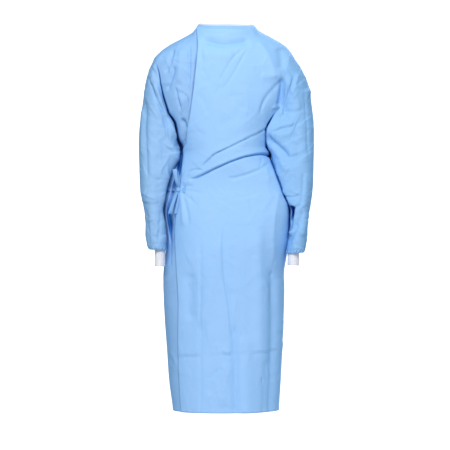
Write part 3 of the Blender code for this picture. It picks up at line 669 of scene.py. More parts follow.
def groove_depth(across, height, share):
    """How deep the grooves are at each place: depth * exp(-(distance / width)^2.2)."""
    deep = np.zeros(across.shape)
    for line in (dense_line(points) for points in GROOVES):
        near = near_line(across, height, line[:, :2], GROOVE_REACH)
        aside, along = beside_line(across[near], height[near], line[:, :2])
        numbers = np.arange(len(line))
        depth, width = (np.interp(along * numbers[-1], numbers, sizes) for sizes in line[:, 2:].T)
        wall = np.exp(-(np.abs(aside / (width * share)) ** GROOVE_POWER))
        deep[near] = np.maximum(deep[near], depth * wall)
    return deep


def groove_push(across, height, sine, share):
    """How far the grooves push the back away from the viewer, and the front the other way."""
    sides = ease(-sine, *GROOVE_SIDES) - FRONT_SHARE * ease(sine, *GROOVE_SIDES)
    return groove_depth(across, height, share) * sides


print("a wall of the grooves takes", PANEL_SHARE, "of the half width on a panel")

# %% [markdown]
# ## The draped body
#
# Form, relief and grooves come together here: any panel, the binding and the ties are places on
# this one surface, with a lift of their own. So nothing that is sewn together can drift apart.

# %% The draped body
def panel_shade_depth(angle, height):
    """Depth of the painted blue shade from grooves and creases on the body's back."""
    across = body_form(angle, height)[..., 0]
    deep = CREASE_SHADE_SHARE * crease_shade_depth(across, height, BACK_CREASES)
    return (deep + groove_depth(across, height, PANEL_SHARE)) * ease(-np.sin(angle), *GROOVE_SIDES)


def on_body(angle, height, lift=0.0):
    """The draped body: form plus normal times relief and lift, then pushed in by the grooves."""
    base = body_form(angle, height)
    cloth = base + outward(angle, height) * (body_relief(angle, base) + lift)[..., None]
    cloth[..., 1] += groove_push(base[..., 0], height, np.sin(angle), PANEL_SHARE)
    return cloth


waist = on_body(np.linspace(0.0, TURN, 5)[:4], np.full(4, -0.5))
print("half a metre down: side, front, side and back at", *waist.round(3))

# %% [markdown]
# ## Rows and columns of the panels
#
# A panel is a grid whose rows run round the body. Above the armholes the rows share out the way
# from the neckline to the armholes' tops, beside the armholes their ends follow the cut edge, and
# below they bend with the waist folds, so that a fold runs along a row and not across a staircase
# of them. The columns of the backs crowd towards the armholes, where the grooves have steep walls.

# %% Armholes
ARMHOLES = {
    "left": {"top": -0.110, "bottom": -0.420, "half_angle": 0.49},
    "right": {"top": -0.092, "bottom": -0.416, "half_angle": 0.50},
}
ARMHOLE_ROUNDING = (0.65, 1.0)  # powers at the top and at the bottom
BACK_OPENING, BACK_ROUNDING = 2.2, 0.8  # how soon a cut on the back is fully open, and its power
ARMHOLE_POINTS = 14  # the first points of the left groove, which lie on the left armhole's edge
ARMHOLE_BACKS = {
    # height, across: the cut edge as seen from behind
    "left": np.array([(-0.110, -0.2245), *GROOVES[0][:ARMHOLE_POINTS, 1::-1], (-0.420, -0.1395)]),
    "right": metres((
        (-92, 208), (-135, 200), (-186, 186), (-237, 183), (-260, 178), (-280, 166), (-301, 151.7),
        (-322, 138.6), (-339, 131.5), (-354, 129), (-370, 130), (-388, 127.5), (-403, 131),
        (-416, 138),
    ), 2),
}


def armhole_height(side, turn):
    """Height of an armhole's edge: its middle plus half of its height times cos(turn)."""
    armhole = ARMHOLES[side]
    middle = (armhole["top"] + armhole["bottom"]) / 2
    return middle + (armhole["top"] - middle) * np.cos(turn)


def armhole_cut(side, turn):
    """How far round the body an armhole reaches: its half angle times a power of sin(turn)."""
    top, bottom = ARMHOLE_ROUNDING
    rounding = bottom + (top - bottom) * (0.5 + 0.5 * np.cos(turn))
    return ARMHOLES[side]["half_angle"] * np.abs(np.sin(turn)) ** rounding


def back_cut(side, turn):
    """The same on the back: the angle of the cut edge's own line, closed at both ends."""
    height = armhole_height(side, turn)
    angle = angle_across(smooth_column(ARMHOLE_BACKS[side], 1, height), height)
    reach = angle - math.pi if side == "left" else TURN - angle
    return reach * np.clip(np.abs(np.sin(turn)) * BACK_OPENING, 0.0, 1.0) ** BACK_ROUNDING


for side in ARMHOLES:
    reach = float(back_cut(side, math.pi / 2))
    print(side, "armhole takes from the back an angle of", round(reach, 3), "halfway down")

# %% [markdown]
# ## The rows
#
# Each row holds its heights at both sides, how far it bows up between them, and where the armholes
# cut it. The rows are close together at the waist, where the folds are sharp, and wide apart in the
# skirt. Subdividing one even mesh would spend the same faces where nothing happens.

# %% Rows
SKIRT_ROWS = metres((
    # left, right, bow: heights of a row at both sides, and how far its middle bows up
    (-420, -416, 0), (-440, -420, 4), (-460, -424, 9), (-480, -428, 14), (-500, -432, 18),
    (-511, -435, 21), (-520, -439, 22), (-529, -445, 22), (-540, -453, 20), (-552, -466, 17),
    (-566, -484, 13), (-583, -508, 9), (-605, -540, 5), (-635, -585, 2), (-680, -645, 0),
    (-740, -720, 0), (-815, -808, 0), (-910, -910, 0), (-1020, -1020, 0), (-1135, -1135, 0),
    (-1252, -1252, 0),
), 3)
SHOULDER_COUNT, ARMHOLE_COUNT = 26, 84  # rows above and beside the armholes
WAIST_SPACING, SKIRT_SPACING = 0.0026, 0.0058  # between two rows
WAIST_END = -0.62  # height below which the rows are further apart


def panel_rows():
    """Arrays of a row's numbers: share, left, right, bow, both front cuts and both back cuts."""
    sides = ("left", "right")
    tops = [ARMHOLES[side]["top"] for side in sides]
    shares = np.linspace(0.0, 1.0, SHOULDER_COUNT, endpoint=False)
    rows = [(share, *tops, 0.0, 0.0, 0.0, 0.0, 0.0) for share in shares]
    for turn in np.linspace(0.0, math.pi, ARMHOLE_COUNT + 1):
        heights = [armhole_height(side, turn) for side in sides]
        cuts = [cut(side, turn) for cut in (armhole_cut, back_cut) for side in sides]
        rows.append((1.0, *heights, 0.0, *cuts))
    where = []
    for number, (here, below) in enumerate(zip(SKIRT_ROWS[:-1], SKIRT_ROWS[1:])):
        drop = (here[0] + here[1] - below[0] - below[1]) / 2
        spacing = WAIST_SPACING if here[0] > WAIST_END else SKIRT_SPACING
        count = max(1, round(drop / spacing))
        where.extend(number + np.arange(1, count + 1) / count)
    skirt = [smooth_column(numbered(SKIRT_ROWS), column, np.array(where)) for column in (1, 2, 3)]
    rows.extend((1.0, *row, 0.0, 0.0, 0.0, 0.0) for row in zip(*skirt))
    return np.array(rows).T[:, :, None]


ROW_SHARE, ROW_LEFT, ROW_RIGHT, ROW_BOW, CUT_LEFT, CUT_RIGHT, BACK_LEFT, BACK_RIGHT = panel_rows()
print("rows down a panel:", len(ROW_SHARE))

# %% [markdown]
# ## The columns
#
# A panel's two edges are functions of height, but the height of a place depends on where round the
# body it is. A few rounds of working out one from the other settle both.

# %% Columns, and how the backs overlap
EDGE_ROUNDS = 4  # rounds in which a panel's edges and its rows' heights settle


def panel_angles(start, end, columns, crowd_start=1.0, crowd_end=1.0):
    """Angle and height of every point of a panel, whose edges are functions of the rows' heights.

    The columns crowd towards an edge: a share s across becomes s to a power above 1.
    """
    across = 1 - (1 - np.linspace(0.0, 1.0, columns + 1)[None, :] ** crowd_start) ** crowd_end
    middle = (ROW_LEFT + ROW_RIGHT) / 2 * ROW_SHARE + NECK_HEIGHT * (1 - ROW_SHARE)
    first_height = last_height = middle
    for _ in range(EDGE_ROUNDS):
        first, last = start(first_height), end(last_height)
        angle = first + (last - first) * across
        right_share = 0.5 + 0.5 * np.cos(angle)
        level = ROW_LEFT + (ROW_RIGHT - ROW_LEFT) * right_share + ROW_BOW * np.sin(angle) ** 2
        height = neck_line(angle) * (1 - ROW_SHARE) + level * ROW_SHARE
        first_height, last_height = height[:, :1], height[:, -1:]
    return angle, height


def over_edge_angle(height):
    """The angle of the over panel's free edge at this height."""
    return angle_across(smooth_column(OVER_EDGE, 1, height), height)


def over_lift(angle):
    """How far the over panel and its binding stand off the body form."""
    return LAP_LIFT * ease(angle, *OVER_LIFTED)


def under_lift(angle):
    """How far the under panel goes in where it is covered."""
    return -UNDER_DROP * ease(angle, *UNDER_SET_BACK)


print("the lap is", LAP_LIFT + UNDER_DROP, "m deep")

# %% [markdown]
# ## From a grid to a piece of cloth
#
# Blender takes a list of points and a list of faces. The faces of a grid are index arithmetic, done
# for all of them at once. The UV map holds real metres, across and down the cloth, so that a weave
# or a bond pattern has its true size. A Solidify modifier gives the sheet its thickness.

# %% Mesh helpers
SHADE_DEPTHS = (0.002, 0.022)  # metres into a groove where the painted shade begins and where it is full


def grid_faces(rows, columns, closed):
    """Quads between the rows of a grid; a closed one joins its last column to its first."""
    row, column = np.mgrid[0:rows - 1, 0:columns if closed else columns - 1]
    beside = (column + 1) % columns
    corners = [row * columns + column, (row + 1) * columns + column,
               (row + 1) * columns + beside, row * columns + beside]
    return np.stack(corners, axis=-1).reshape(-1, 4)


def grid_uv(grid, closed):
    """UV in metres for each corner: the mean length run across the columns and down the rows."""
    around = np.concatenate([grid, grid[:, :1]], axis=1) if closed else grid
    across = np.linalg.norm(np.diff(around, axis=1), axis=-1).mean(axis=0)
    down = np.linalg.norm(np.diff(grid, axis=0), axis=-1).mean(axis=1)
    u = np.concatenate([[0.0], np.cumsum(across)])
    v = -np.concatenate([[0.0], np.cumsum(down)])
    row, column = np.mgrid[0:len(v) - 1, 0:len(u) - 1]
    corners = [(row, column), (row + 1, column), (row + 1, column + 1), (row, column + 1)]
    return np.stack([np.stack([u[c], v[r]], axis=-1) for r, c in corners], axis=2).reshape(-1)


def mesh_piece(name, points, faces, uv=None):
    """A smooth mesh object at the origin, made from an array of points and a list of faces."""
    mesh = bpy.data.meshes.new(name)
    mesh.from_pydata(points.reshape(-1, 3).tolist(), [], faces)
    if uv is not None:
        mesh.uv_layers.new(name="cloth").data.foreach_set("uv", uv)
    mesh.shade_smooth()
    piece = bpy.data.objects.new(name, mesh)
    bpy.context.scene.collection.objects.link(piece)
    return piece


def cloth_piece(name, grid, thickness=CLOTH, closed=False, depth=None):
    """A grid of points made a sheet of cloth, with its middle on those points."""
    faces = grid_faces(grid.shape[0], grid.shape[1], closed).tolist()
    piece = mesh_piece(name, grid, faces, grid_uv(grid, closed))
    # painted shade: the depth of grooves and creases, kept as the attribute groove, mixes deep blue
    # into the paint
    if depth is not None:
        shade = piece.data.attributes.new("groove", "FLOAT", "POINT")
        shade.data.foreach_set("value", ease(depth, *SHADE_DEPTHS).reshape(-1))
    wall = piece.modifiers.new("thickness", "SOLIDIFY")
    wall.thickness = thickness
    wall.offset = 0.0
    print(name, "quads", len(faces))
    return piece


# %% [markdown]
# ## The front
#
# One piece from side seam to side seam, cut out at both armholes. It could be two halves mirrored,
# but a maker cuts it in one, so it is one grid here.

# %% Front
SEAM_LAP = 0.012  # how far the front reaches under the backs at its seams, as an angle
SEAM_DROP = 0.0008  # how far the front sinks there


def make_front():
    """The front panel, a little sunk where its side seams lie under the backs."""
    angle, height = panel_angles(
        start=lambda level: CUT_RIGHT - SEAM_LAP,
        end=lambda level: math.pi + SEAM_LAP - CUT_LEFT,
        columns=130,
    )
    from_seam = np.minimum(angle - angle[:, :1], angle[:, -1:] - angle)
    cloth = on_body(angle, height, -SEAM_DROP * ease(from_seam, 4 * SEAM_LAP, SEAM_LAP))
    return cloth_piece("gown_front", cloth, depth=panel_shade_depth(angle, height))


make_front()

# %% [markdown]
# ## The two backs
#
# The wearer's left back lies under, and ends hidden near the middle. The wearer's right back laps
# over it, right across to the left side, and its free edge is the long clean line down the back. It
# stands a few millimetres off the layer beneath, which gives the edge its thin shadow, and a
# painted blue shade deepens the trough beside it.

# %% Backs
EDGE_TROUGH = {"depth": 0.009, "beside": 0.0012, "width": 0.0030}
TROUGH_SHADE_SHARE = 1.5  # how much deeper than it is that trough's painted shade goes


def edge_trough(angle, height):
    """The under panel dips beside the over panel's edge; dip and painted shade give its dark line.
    """
    beside = smooth_column(OVER_EDGE, 1, height) - body_form(angle, height)[..., 0]
    off = (beside - EDGE_TROUGH["beside"]) / EDGE_TROUGH["width"]
    return EDGE_TROUGH["depth"] * np.exp(-(off**2))


def make_back_left():
    """The under panel, sunk where it is covered and beside the over panel's edge."""
    angle, height = panel_angles(
        start=lambda level: math.pi + BACK_LEFT,
        end=lambda level: angle_across(UNDER_EDGE, level),
        columns=120, crowd_start=1.7,
    )
    trough = edge_trough(angle, height)
    cloth = on_body(angle, height, under_lift(angle) - trough)
    # painted shade: the trough beside the edge adds to the deep blue of grooves and creases
    depth = panel_shade_depth(angle, height) + TROUGH_SHADE_SHARE * trough
    return cloth_piece("gown_back_left", cloth, depth=depth)


def make_back_right():
    """The over panel, lifted off the under one."""
    angle, height = panel_angles(
        start=over_edge_angle, end=lambda level: TURN - BACK_RIGHT, columns=150, crowd_end=1.3
    )
    cloth = on_body(angle, height, over_lift(angle))
    return cloth_piece("gown_back_right", cloth, depth=panel_shade_depth(angle, height))


make_back_left()
make_back_right()

# %% [markdown]
# ## The sleeves
#
# A sleeve is a tube of rings that leaves the armhole's cut edge, hangs down beside the body and is
# gathered onto its cuff. Each ring is an ellipse between an outer and an inner point as seen from
# behind. Its creases are drawn as the back's are, once for the back and once for the front.

# %% Sleeve sizes
SLEEVES = {
    # outer across, outer height, inner across, inner height: of each ring, from the armhole down
    "left": metres((
        (-231, -110, -139, -420), (-257, -175, -146, -434), (-271, -262, -157, -452),
        (-281, -343, -170, -474), (-282, -408, -182, -501), (-280, -473, -191, -537),
        (-277, -538, -198, -573), (-267, -590, -203, -608), (-260, -636, -196, -648),
        (-260, -682, -193, -690), (-254, -718, -192.5, -724), (-246, -731, -193, -734),
    ), 4),
    "right": metres((
        (213, -92, 134, -416), (262, -180, 143, -430), (278, -262, 149, -448),
        (285, -343, 153, -468), (284, -408, 160, -492), (283, -473, 174, -524),
        (280, -538, 187, -563), (273, -590, 204, -602), (264, -636, 209, -645),
        (262, -682, 203, -686), (257, -724, 195, -730), (250, -741, 195, -744),
    ), 4),
}
SLEEVE_DEPTHS = metres((
    # middle, half depth: of each ring on both sides
    (0, 82), (-1, 78), (-4, 74), (-10, 71), (-21, 66), (-29, 62), (-34, 58), (-37, 56), (-40, 54),
    (-43, 52), (-45, 50), (-48, 43),
), 2)
CUFFS = {
    "left": {"across": -0.2135, "half_width": 0.0165, "top": -0.722, "bottom": -0.785},
    "right": {"across": 0.2170, "half_width": 0.0185, "top": -0.734, "bottom": -0.782},
}
CUFF_MIDDLE = -0.050
CUFF_HALF_DEPTH = 0.032
print("rings in the sleeves' table:", len(SLEEVE_DEPTHS))

# %% [markdown]
# ## The creases of the sleeves
#
# A sleeve crumples where it hangs from the shoulder, under the arm and at the elbow. The backs of
# both have their own creases. The camera looks at the backs, so the fronts share one set, mirrored.

# %% The creases of the sleeves
SLEEVE_CREASES = {
    # depth, half width, pointed share, lip, then the line's points (across, height)
    "left": (
        (3.6, 4, 0.4, 6.2, (-244, -136), (-234, -150), (-222, -166)),
        (-3, 6, 0.4, 0, (-238, -160), (-231, -178), (-222, -196)),
        (6.8, 6.1, 0.3, 10.9, (-246, -172), (-242, -188), (-233.5, -212), (-224.7, -238),
         (-211.6, -269), (-200.6, -300), (-192, -330), (-187, -365), (-181, -395)),
        (-5.8, 7.2, 0.2, 0, (-231, -190), (-216, -228), (-203, -262), (-190, -292), (-176, -325),
         (-166, -360), (-156, -396)),
        (4.8, 8.8, 0.2, 5.7, (-262, -240), (-254, -290), (-256, -340), (-252, -420), (-249, -520)),
        (-3, 6, 0.3, 0, (-268, -270), (-272, -350), (-270, -440)),
        (2.7, 5.5, 0.4, 4.4, (-205, -388), (-190, -402), (-172, -412)),
        (-2.8, 16.8, 0.1, 0, (-240, -330), (-226, -380), (-222, -440)),
        (1.9, 8.8, 0.2, 2.3, (-255, -470), (-232, -500), (-205, -505)),
        (1.5, 6, 0.3, 1.8, (-272, -560), (-255, -582), (-236, -586), (-212, -578)),
        (-3, 13.2, 0.2, 0, (-236, -470), (-232, -560), (-228, -650)),
        (2.7, 6.6, 0.3, 3.2, (-252, -595), (-246, -660), (-240, -720)),
        (2.7, 6.6, 0.3, 3.2, (-208, -600), (-211, -660), (-217, -718)),
        (-2.3, 7.2, 0.3, 0, (-222, -640), (-228, -690)),
    ),
    "right": (
        (-5.8, 6, 0.3, 0, (194, -180), (193, -210), (192, -238), (184, -269), (169, -313)),
        (6.4, 6.6, 0.3, 10.1, (177, -312), (187, -269), (200, -225), (209, -195), (215, -170)),
        (-4.2, 7.2, 0.4, 0, (232, -160), (226, -185), (219, -215)),
        (2.4, 4.4, 0.4, 4, (210, -130), (222, -150), (236, -168)),
        (1.8, 4.4, 0.4, 3, (216, -118), (232, -138), (246, -150)),
        (2.4, 5, 0.8, 1.6, (250, -200), (254, -245), (258, -300), (262, -380), (266, -450)),
        (3.5, 8.8, 0.2, 4.2, (190, -284), (220, -286), (248, -278)),
        (4.8, 5, 0.4, 8.6, (143, -352), (162, -346), (182, -339), (203, -335), (220, -330)),
        (-3.9, 9.6, 0.2, 0, (155, -362), (185, -362), (213, -358)),
        (7.2, 9.9, 0.2, 12, (132, -350), (147, -372), (173, -396), (195, -418), (206, -440)),
        (-5.8, 10.8, 0.2, 0, (142, -392), (160, -415), (177, -440), (190, -480)),
        (3.5, 8.8, 0.1, 4.2, (228, -322), (228, -350), (226, -382)),
        (2.9, 12.1, 0, 3.4, (234, -385), (237, -455)),
        (3.5, 6.6, 0.4, 5.6, (252, -480), (250, -520), (246, -560), (241, -596)),
        (3, 4.5, 0.4, 3, (184, -556), (202, -561), (222, -560), (234, -552)),
        (3, 5, 0.4, 3.5, (192, -586), (208, -592), (226, -592), (240, -584)),
        (23.2, 8.5, 0.2, 0, (212, -588), (209, -610), (205, -640), (202, -676)),
        (-4.1, 7.2, 0.3, 0, (226, -596), (220, -640), (210, -690)),
        (5.2, 8.8, 0.2, 7.8, (250, -606), (245, -627), (232, -655), (217, -690), (208, -712)),
        (-4.2, 9.6, 0.3, 0, (256, -632), (250, -655), (240, -690)),
        (1.9, 4.4, 0.4, 2.3, (196, -735), (215, -733), (236, -728)),
    ),
}
SLEEVE_FRONT_CREASES = {
    "right": (
        (5, 8, 0.2, 1, (228, -170), (205, -240), (178, -330)),
        (-2.6, 7, 0.2, 0, (205, -200), (188, -260), (168, -320)),
        (4.4, 8, 0.3, 1, (262, -400), (225, -430), (190, -440)),
        (4, 7, 0.3, 1, (265, -455), (232, -470), (196, -500)),
        (3, 9, 0.2, 0, (255, -520), (236, -560), (228, -620)),
        (3, 8, 0.3, 0, (214, -560), (216, -640), (222, -700)),
        (-2.2, 8, 0.3, 0, (250, -240), (255, -330), (254, -420)),
    ),
}
SLEEVE_FRONT_CREASES["left"] = [
    (*crease[:4], *((-across, height) for across, height in crease[4:]))
    for crease in SLEEVE_FRONT_CREASES["right"]
]
for side, creases in SLEEVE_CREASES.items():
    print(side, "sleeve:", len(creases), "creases on the back")

# %% [markdown]
# ## The form of a sleeve
#
# Under its creases a sleeve is a smooth tube. Towards the body it is flatter, because it lies
# against it, and where a ring would sink into the body it is moved out onto it. A cloth simulation
# would find this by collisions; here it is one comparison of two radii.

# %% Sleeve form
SLEEVE_CLEARANCE = 0.002
INNER_SQUARENESS = 0.62  # how much flatter a sleeve is towards the body
INNER_SIDE, INNER_RINGS = (0.9, 0.3), (10.5, 6.0)  # shares across and table rings where that begins


def ring(side, turn, along):
    """A sleeve's smooth form: an ellipse whose ends are the outer and inner points at this ring."""
    rings = numbered(np.column_stack([SLEEVES[side], SLEEVE_DEPTHS]))
    outer_x, outer_z, inner_x, inner_z, middle, depth = (
        smooth_column(rings, column, along) for column in range(1, 7)
    )
    share = 0.5 + 0.5 * np.sign(outer_x) * np.cos(turn)
    across = inner_x + (outer_x - inner_x) * share
    height = inner_z + (outer_z - inner_z) * share
    squareness = 1 - INNER_SQUARENESS * ease(share, *INNER_SIDE) * ease(along, *INNER_RINGS)
    swell = np.sign(np.sin(turn)) * np.abs(np.sin(turn)) ** squareness
    return np.stack([across, middle + depth * swell, height], axis=-1)


def cuff_ring(side, turns, clear, height):
    """An ellipse round a cuff, clear of the cuff's middle line by so much."""
    cuff = CUFFS[side]
    across = cuff["across"] + (cuff["half_width"] + clear) * np.cos(turns)
    deep = CUFF_MIDDLE + (CUFF_HALF_DEPTH + clear) * np.sin(turns)
    return np.stack([across, deep, 0 * turns + height], axis=-1)


def tube_normals(grid):
    """Unit normals of a closed tube of points: the slope down crossed with the slope round."""
    around = np.roll(grid, -1, axis=1) - np.roll(grid, 1, axis=1)
    return unit(np.cross(np.gradient(grid, axis=0), around))


def rest_on_body(grid, amount):
    """Moves points that are inside the body form out to just above it, by this share of the way."""
    height = grid[..., 2]
    middle = smooth_column(SECTIONS, 5, height)
    x, y = grid[..., 0], grid[..., 1] - middle
    surface = body_form(np.arctan2(y, x), height)
    radius = np.hypot(surface[..., 0], surface[..., 1] - middle) + SLEEVE_CLEARANCE
    stretch = 1 + amount * (np.maximum(radius / np.hypot(x, y), 1.0) - 1)
    return np.stack([x * stretch, middle + y * stretch, height], axis=-1)


top = ring("right", np.array([0.0, math.pi]), 0.0)
print("right sleeve's first ring: outer end", top[0].round(3), "inner end", top[1].round(3))

# %% [markdown]
# ## Gathers and wear of a sleeve
#
# The sleeve is wider than its cuff and is pleated onto it: two sets of waves round the sleeve,
# whose counts don't divide each other, so that pleats side by side differ.

# %% Sleeve relief
GATHER_PLEATS, GATHER_UNEVEN = (15, 9), 0.6  # two sets of pleats, and the share of the second
GATHER_HEIGHT = 0.0016
GATHER_LENGTH, GATHER_END = 0.11, 0.985  # share that the gathers reach up; where they are highest
SEEDS = {"left": {"wear": 41, "gather": 31}, "right": {"wear": 51, "gather": 32}}


def gather_relief(side, turns, along):
    """Pleats above the cuff: uneven waves round the sleeve that die out upwards."""
    start, second = np.random.default_rng(SEEDS[side]["gather"]).uniform(0.0, TURN, 2)
    waves = np.sin(GATHER_PLEATS[0] * turns + start)
    waves = waves + GATHER_UNEVEN * np.sin(GATHER_PLEATS[1] * turns + second)
    rise = ease(along, 1.0 - GATHER_LENGTH, GATHER_END) * ease(along, 1.0, GATHER_END)
    return GATHER_HEIGHT * waves * rise


def sleeve_relief(side, across, height, sides):
    """Creases and wear of a sleeve's back and front, each shown by its own share."""
    box = ((across.min(), across.max()), (height.min(), height.max()))
    relief = np.zeros(across.shape)
    for number, creases in enumerate((SLEEVE_CREASES[side], SLEEVE_FRONT_CREASES[side])):
        seed = SEEDS[side]["wear"] + number
        wear = wear_relief(across, height, (seed, seed + 2), SLEEVE_WEAR, box)
        relief += sides[number] * (crease_relief(across, height, creases) + wear)
    return relief


print("pleats round a sleeve:", GATHER_PLEATS)

# %% [markdown]
# ## Sewing a sleeve in
#
# The first ring is the armhole's own cut edge on the draped body, so the seam closes by itself. The
# rings below blend from that edge into the sleeve's form. Welding two meshes would also close the
# seam, but then sleeve and back would be one piece, which they aren't for a maker.

# %% Make the sleeves
KNIT = 0.0018  # room that the cuff's knit and its ribs take in the sleeve's mouth
SLEEVE_STEPS, SLEEVE_RINGS = 168, 232
RING_CROWDING = 1.35  # rings crowd towards the armhole: a share s down becomes s to this power
SLEEVE_BLEND = 1.6  # rings of the table in which the armhole's edge turns into the sleeve's form
SEAM_BLEND = 0.10  # share of the sleeve in which its grooves still follow the body's
SEAM_TUCK = 0.003  # how far the sleeve's edge is tucked in at the top of the armhole
TUCK_UNDER = 1.6  # thicknesses of cloth by which that edge lies under the seam
REST_RINGS = (0.3, 1.0)  # table rings between which a sleeve starts to rest on the body
CREASED = ((0.0, 0.06), (1.0, 0.93))  # shares down a sleeve in which its creases fade at both ends
FACING_BLEND = 0.30  # depth part of the unit normal by which a side's creases are all there
MOUTH_RISE = 0.002  # how far up the sleeve's last ring lies in its cuff


def make_sleeve(side):
    """The armhole's edge, blended into the rings below it, then creased, gathered and grooved."""
    outer_turn, sign = (math.pi, -1.0) if side == "left" else (0.0, 1.0)
    turns = (outer_turn + np.arange(SLEEVE_STEPS) * TURN / SLEEVE_STEPS)[None, :]
    turn = turns - outer_turn

    # The seam, which is the armhole's cut edge on the creased body.
    cut = np.where(np.sin(turns) < 0, back_cut(side, turn), armhole_cut(side, turn))
    angle = outer_turn + sign * cut * np.sign(np.sin(turns))
    height = armhole_height(side, turn)
    normal, base = outward(angle, height), body_form(angle, height)
    seam = base + normal * body_relief(angle, base)[..., None]
    low = 0.5 - 0.5 * np.cos(turn)

    # The rings, the first of them on the seam.
    start = ring(side, turns, np.zeros(1))
    away = unit(ring(side, turns, np.ones(1)) - start)
    last = len(SLEEVES[side]) - 1.0
    along = last * np.linspace(0.0, 1.0, SLEEVE_RINGS)[:, None] ** RING_CROWDING
    shift = seam + normal * (2 * CLOTH * low)[..., None] - start
    grid = ring(side, turns, along) + shift * (1 - ease(along, 0.0, SLEEVE_BLEND))[..., None]
    grid = rest_on_body(grid, ease(along, *REST_RINGS))

    # Creases and gathers, none of them at the seam or at the cuff.
    along = along / last
    across, level = grid[..., 0], grid[..., 2]
    facing = tube_normals(grid)
    sides = ease(-facing[..., 1], 0.0, FACING_BLEND), ease(facing[..., 1], 0.0, FACING_BLEND)
    relief = sleeve_relief(side, across, level, sides)
    relief = relief * ease(along, *CREASED[0]) * ease(along, *CREASED[1])
    # painted shade: how deep the back's creases look, for the paint's deep blue
    creases = sides[0] * crease_shade_depth(across, level, SLEEVE_CREASES[side])
    grid = grid + facing * (relief + gather_relief(side, turns, along))[..., None]

    # The grooves, which at the seam are read at the body's own places.
    joined = 1 - ease(along, 0.0, SEAM_BLEND)
    across = across + (base[..., 0] - grid[:1, :, 0]) * joined
    level = level + (base[..., 2] - grid[:1, :, 2]) * joined
    sine = np.sin(turns) + (np.sin(angle) - np.sin(turns)) * joined
    groove = groove_push(across, level, sine, SLEEVE_SHARE)
    grid[..., 1] += groove

    # One more ring tucked in under the seam, and two that end in the cuff.
    tuck = seam - away * (SEAM_TUCK * (1 - low))[..., None]
    tuck = tuck - normal * (CLOTH * (TUCK_UNDER + low))[..., None]
    tuck[..., 1] += groove[0]
    mouth_height = SLEEVES[side][-1][3] + MOUTH_RISE
    mouth = cuff_ring(side, turns, (KNIT + CLOTH) / 2 + SEAM_GAP, mouth_height)
    mouth = grid[-1:] + (mouth - grid[-1:]) * np.array([0.5, 1.0])[:, None, None]
    # painted shade: grooves and creases set how far the paint goes to deep blue
    deep = groove + CREASE_SHADE_SHARE * creases
    depth = np.concatenate([deep[:1], deep, 0 * deep[:2]])
    grid = np.concatenate([tuck, grid, mouth])
    return cloth_piece("gown_sleeve_" + side, grid, closed=True, depth=depth)


make_sleeve("left")
make_sleeve("right")

# %% [markdown]
# ## The knitted cuffs
#
# The cuffs are a stretchy rib knit: columns of stitches that stand up, with sunken columns between.
# A bump texture alone would leave the outline of the cuff smooth, so the ribs are in the mesh: the
# ring's radius follows a sine round the cuff, and the two ends draw in a little.

# %% Cuffs
CUFF_RIBS = 46
CUFF_COLUMNS = CUFF_RIBS * 6
CUFF_ROWS = 34
CUFF_CLOTH = 0.0012  # thickness of the knit between its ribs
RIB_HEIGHT, RIB_ENDS = 0.00035, 0.4  # and the share of it that is left at a cuff's two ends
CUFF_WAIST, CUFF_WAVE = 0.0006, 0.0004  # how far a cuff draws in midway, and how uneven its end is


def make_cuff(side):
    """A tube of ellipses whose radius waves with the ribs, waisted a little below the sleeve."""
    cuff = CUFFS[side]
    turns = (np.arange(CUFF_COLUMNS) * TURN / CUFF_COLUMNS)[None, :]
    share = np.linspace(0.0, 1.0, CUFF_ROWS)[:, None]
    bulge = np.sin(math.pi * share)
    height = cuff["top"] + (cuff["bottom"] - cuff["top"]) * share
    height = height + CUFF_WAIST * np.sin(2 * turns) * share
    ribs = RIB_HEIGHT * np.sin(CUFF_RIBS * turns) * (RIB_ENDS + (1 - RIB_ENDS) * bulge**0.5)
    slack = CUFF_WAVE * np.sin(3 * turns + 1.0) * share - CUFF_WAIST * bulge
    grid = cuff_ring(side, turns, ribs + slack, height)
    return cloth_piece("gown_cuff_" + side, grid, thickness=CUFF_CLOTH, closed=True)


make_cuff("left")
make_cuff("right")

# %% [markdown]
# ## The neck binding
#
# A strip folded over the raw neckline and stitched down. In section it is an upside-down U, so its
# profile is carried round the neck: up the outside, over the fold and down the inside.

# %% Binding
BINDING_HEIGHT = 0.0078
BINDING_LEGS = 0.0011  # half of the distance between the two legs
BINDING_CLOTH = 0.0004
BINDING_COLUMNS = 420
PUCKERS = ((0.00035, 60.0, 0.0), (0.00025, 37.0, 1.0))  # height, waves in a radian, start
BINDING_PROFILE = (
    # up from the cut edge, out from the middle, as shares of the height and of the legs' distance
    (-0.22, 0.55), (0.05, 0.95), (0.35, 1.05), (0.60, 1.0), (0.85, 0.85), (0.96, 0.50), (1.00, 0.0),
    (0.96, -0.50), (0.85, -0.85), (0.60, -1.0), (0.35, -1.0), (0.05, -0.95), (-0.22, -0.55),
)
NECK_START = float(over_edge_angle(np.array(NECK_HEIGHT)))
NECK_END = TURN + float(angle_across(UNDER_EDGE, np.array(NECK_HEIGHT)))


def neck_edge(angle):
    """Points of the neckline, the way its binding leans and the way that faces out."""
    height = neck_line(angle)
    lift = over_lift(angle) + under_lift(angle - TURN)
    lean = body_form(angle, height + BINDING_HEIGHT / 2) - body_form(angle, height)
    return on_body(angle, height, lift), unit(lean), outward(angle, height)


def make_binding():
    """The U profile carried along the neckline, with a slight uneven pucker."""
    angle = np.linspace(NECK_START, NECK_END, BINDING_COLUMNS + 1)
    base, lean, out = neck_edge(angle)
    pucker = sum(high * np.sin(angle * waves + begin) for high, waves, begin in PUCKERS)
    rows = []
    for up, aside in BINDING_PROFILE:
        rise = up * (BINDING_HEIGHT + pucker)
        off = aside * BINDING_LEGS + pucker / 2
        rows.append(base + lean * rise[:, None] + out * off[:, None])
    return cloth_piece("gown_neck_binding", np.array(rows)[::-1], thickness=BINDING_CLOTH)


make_binding()
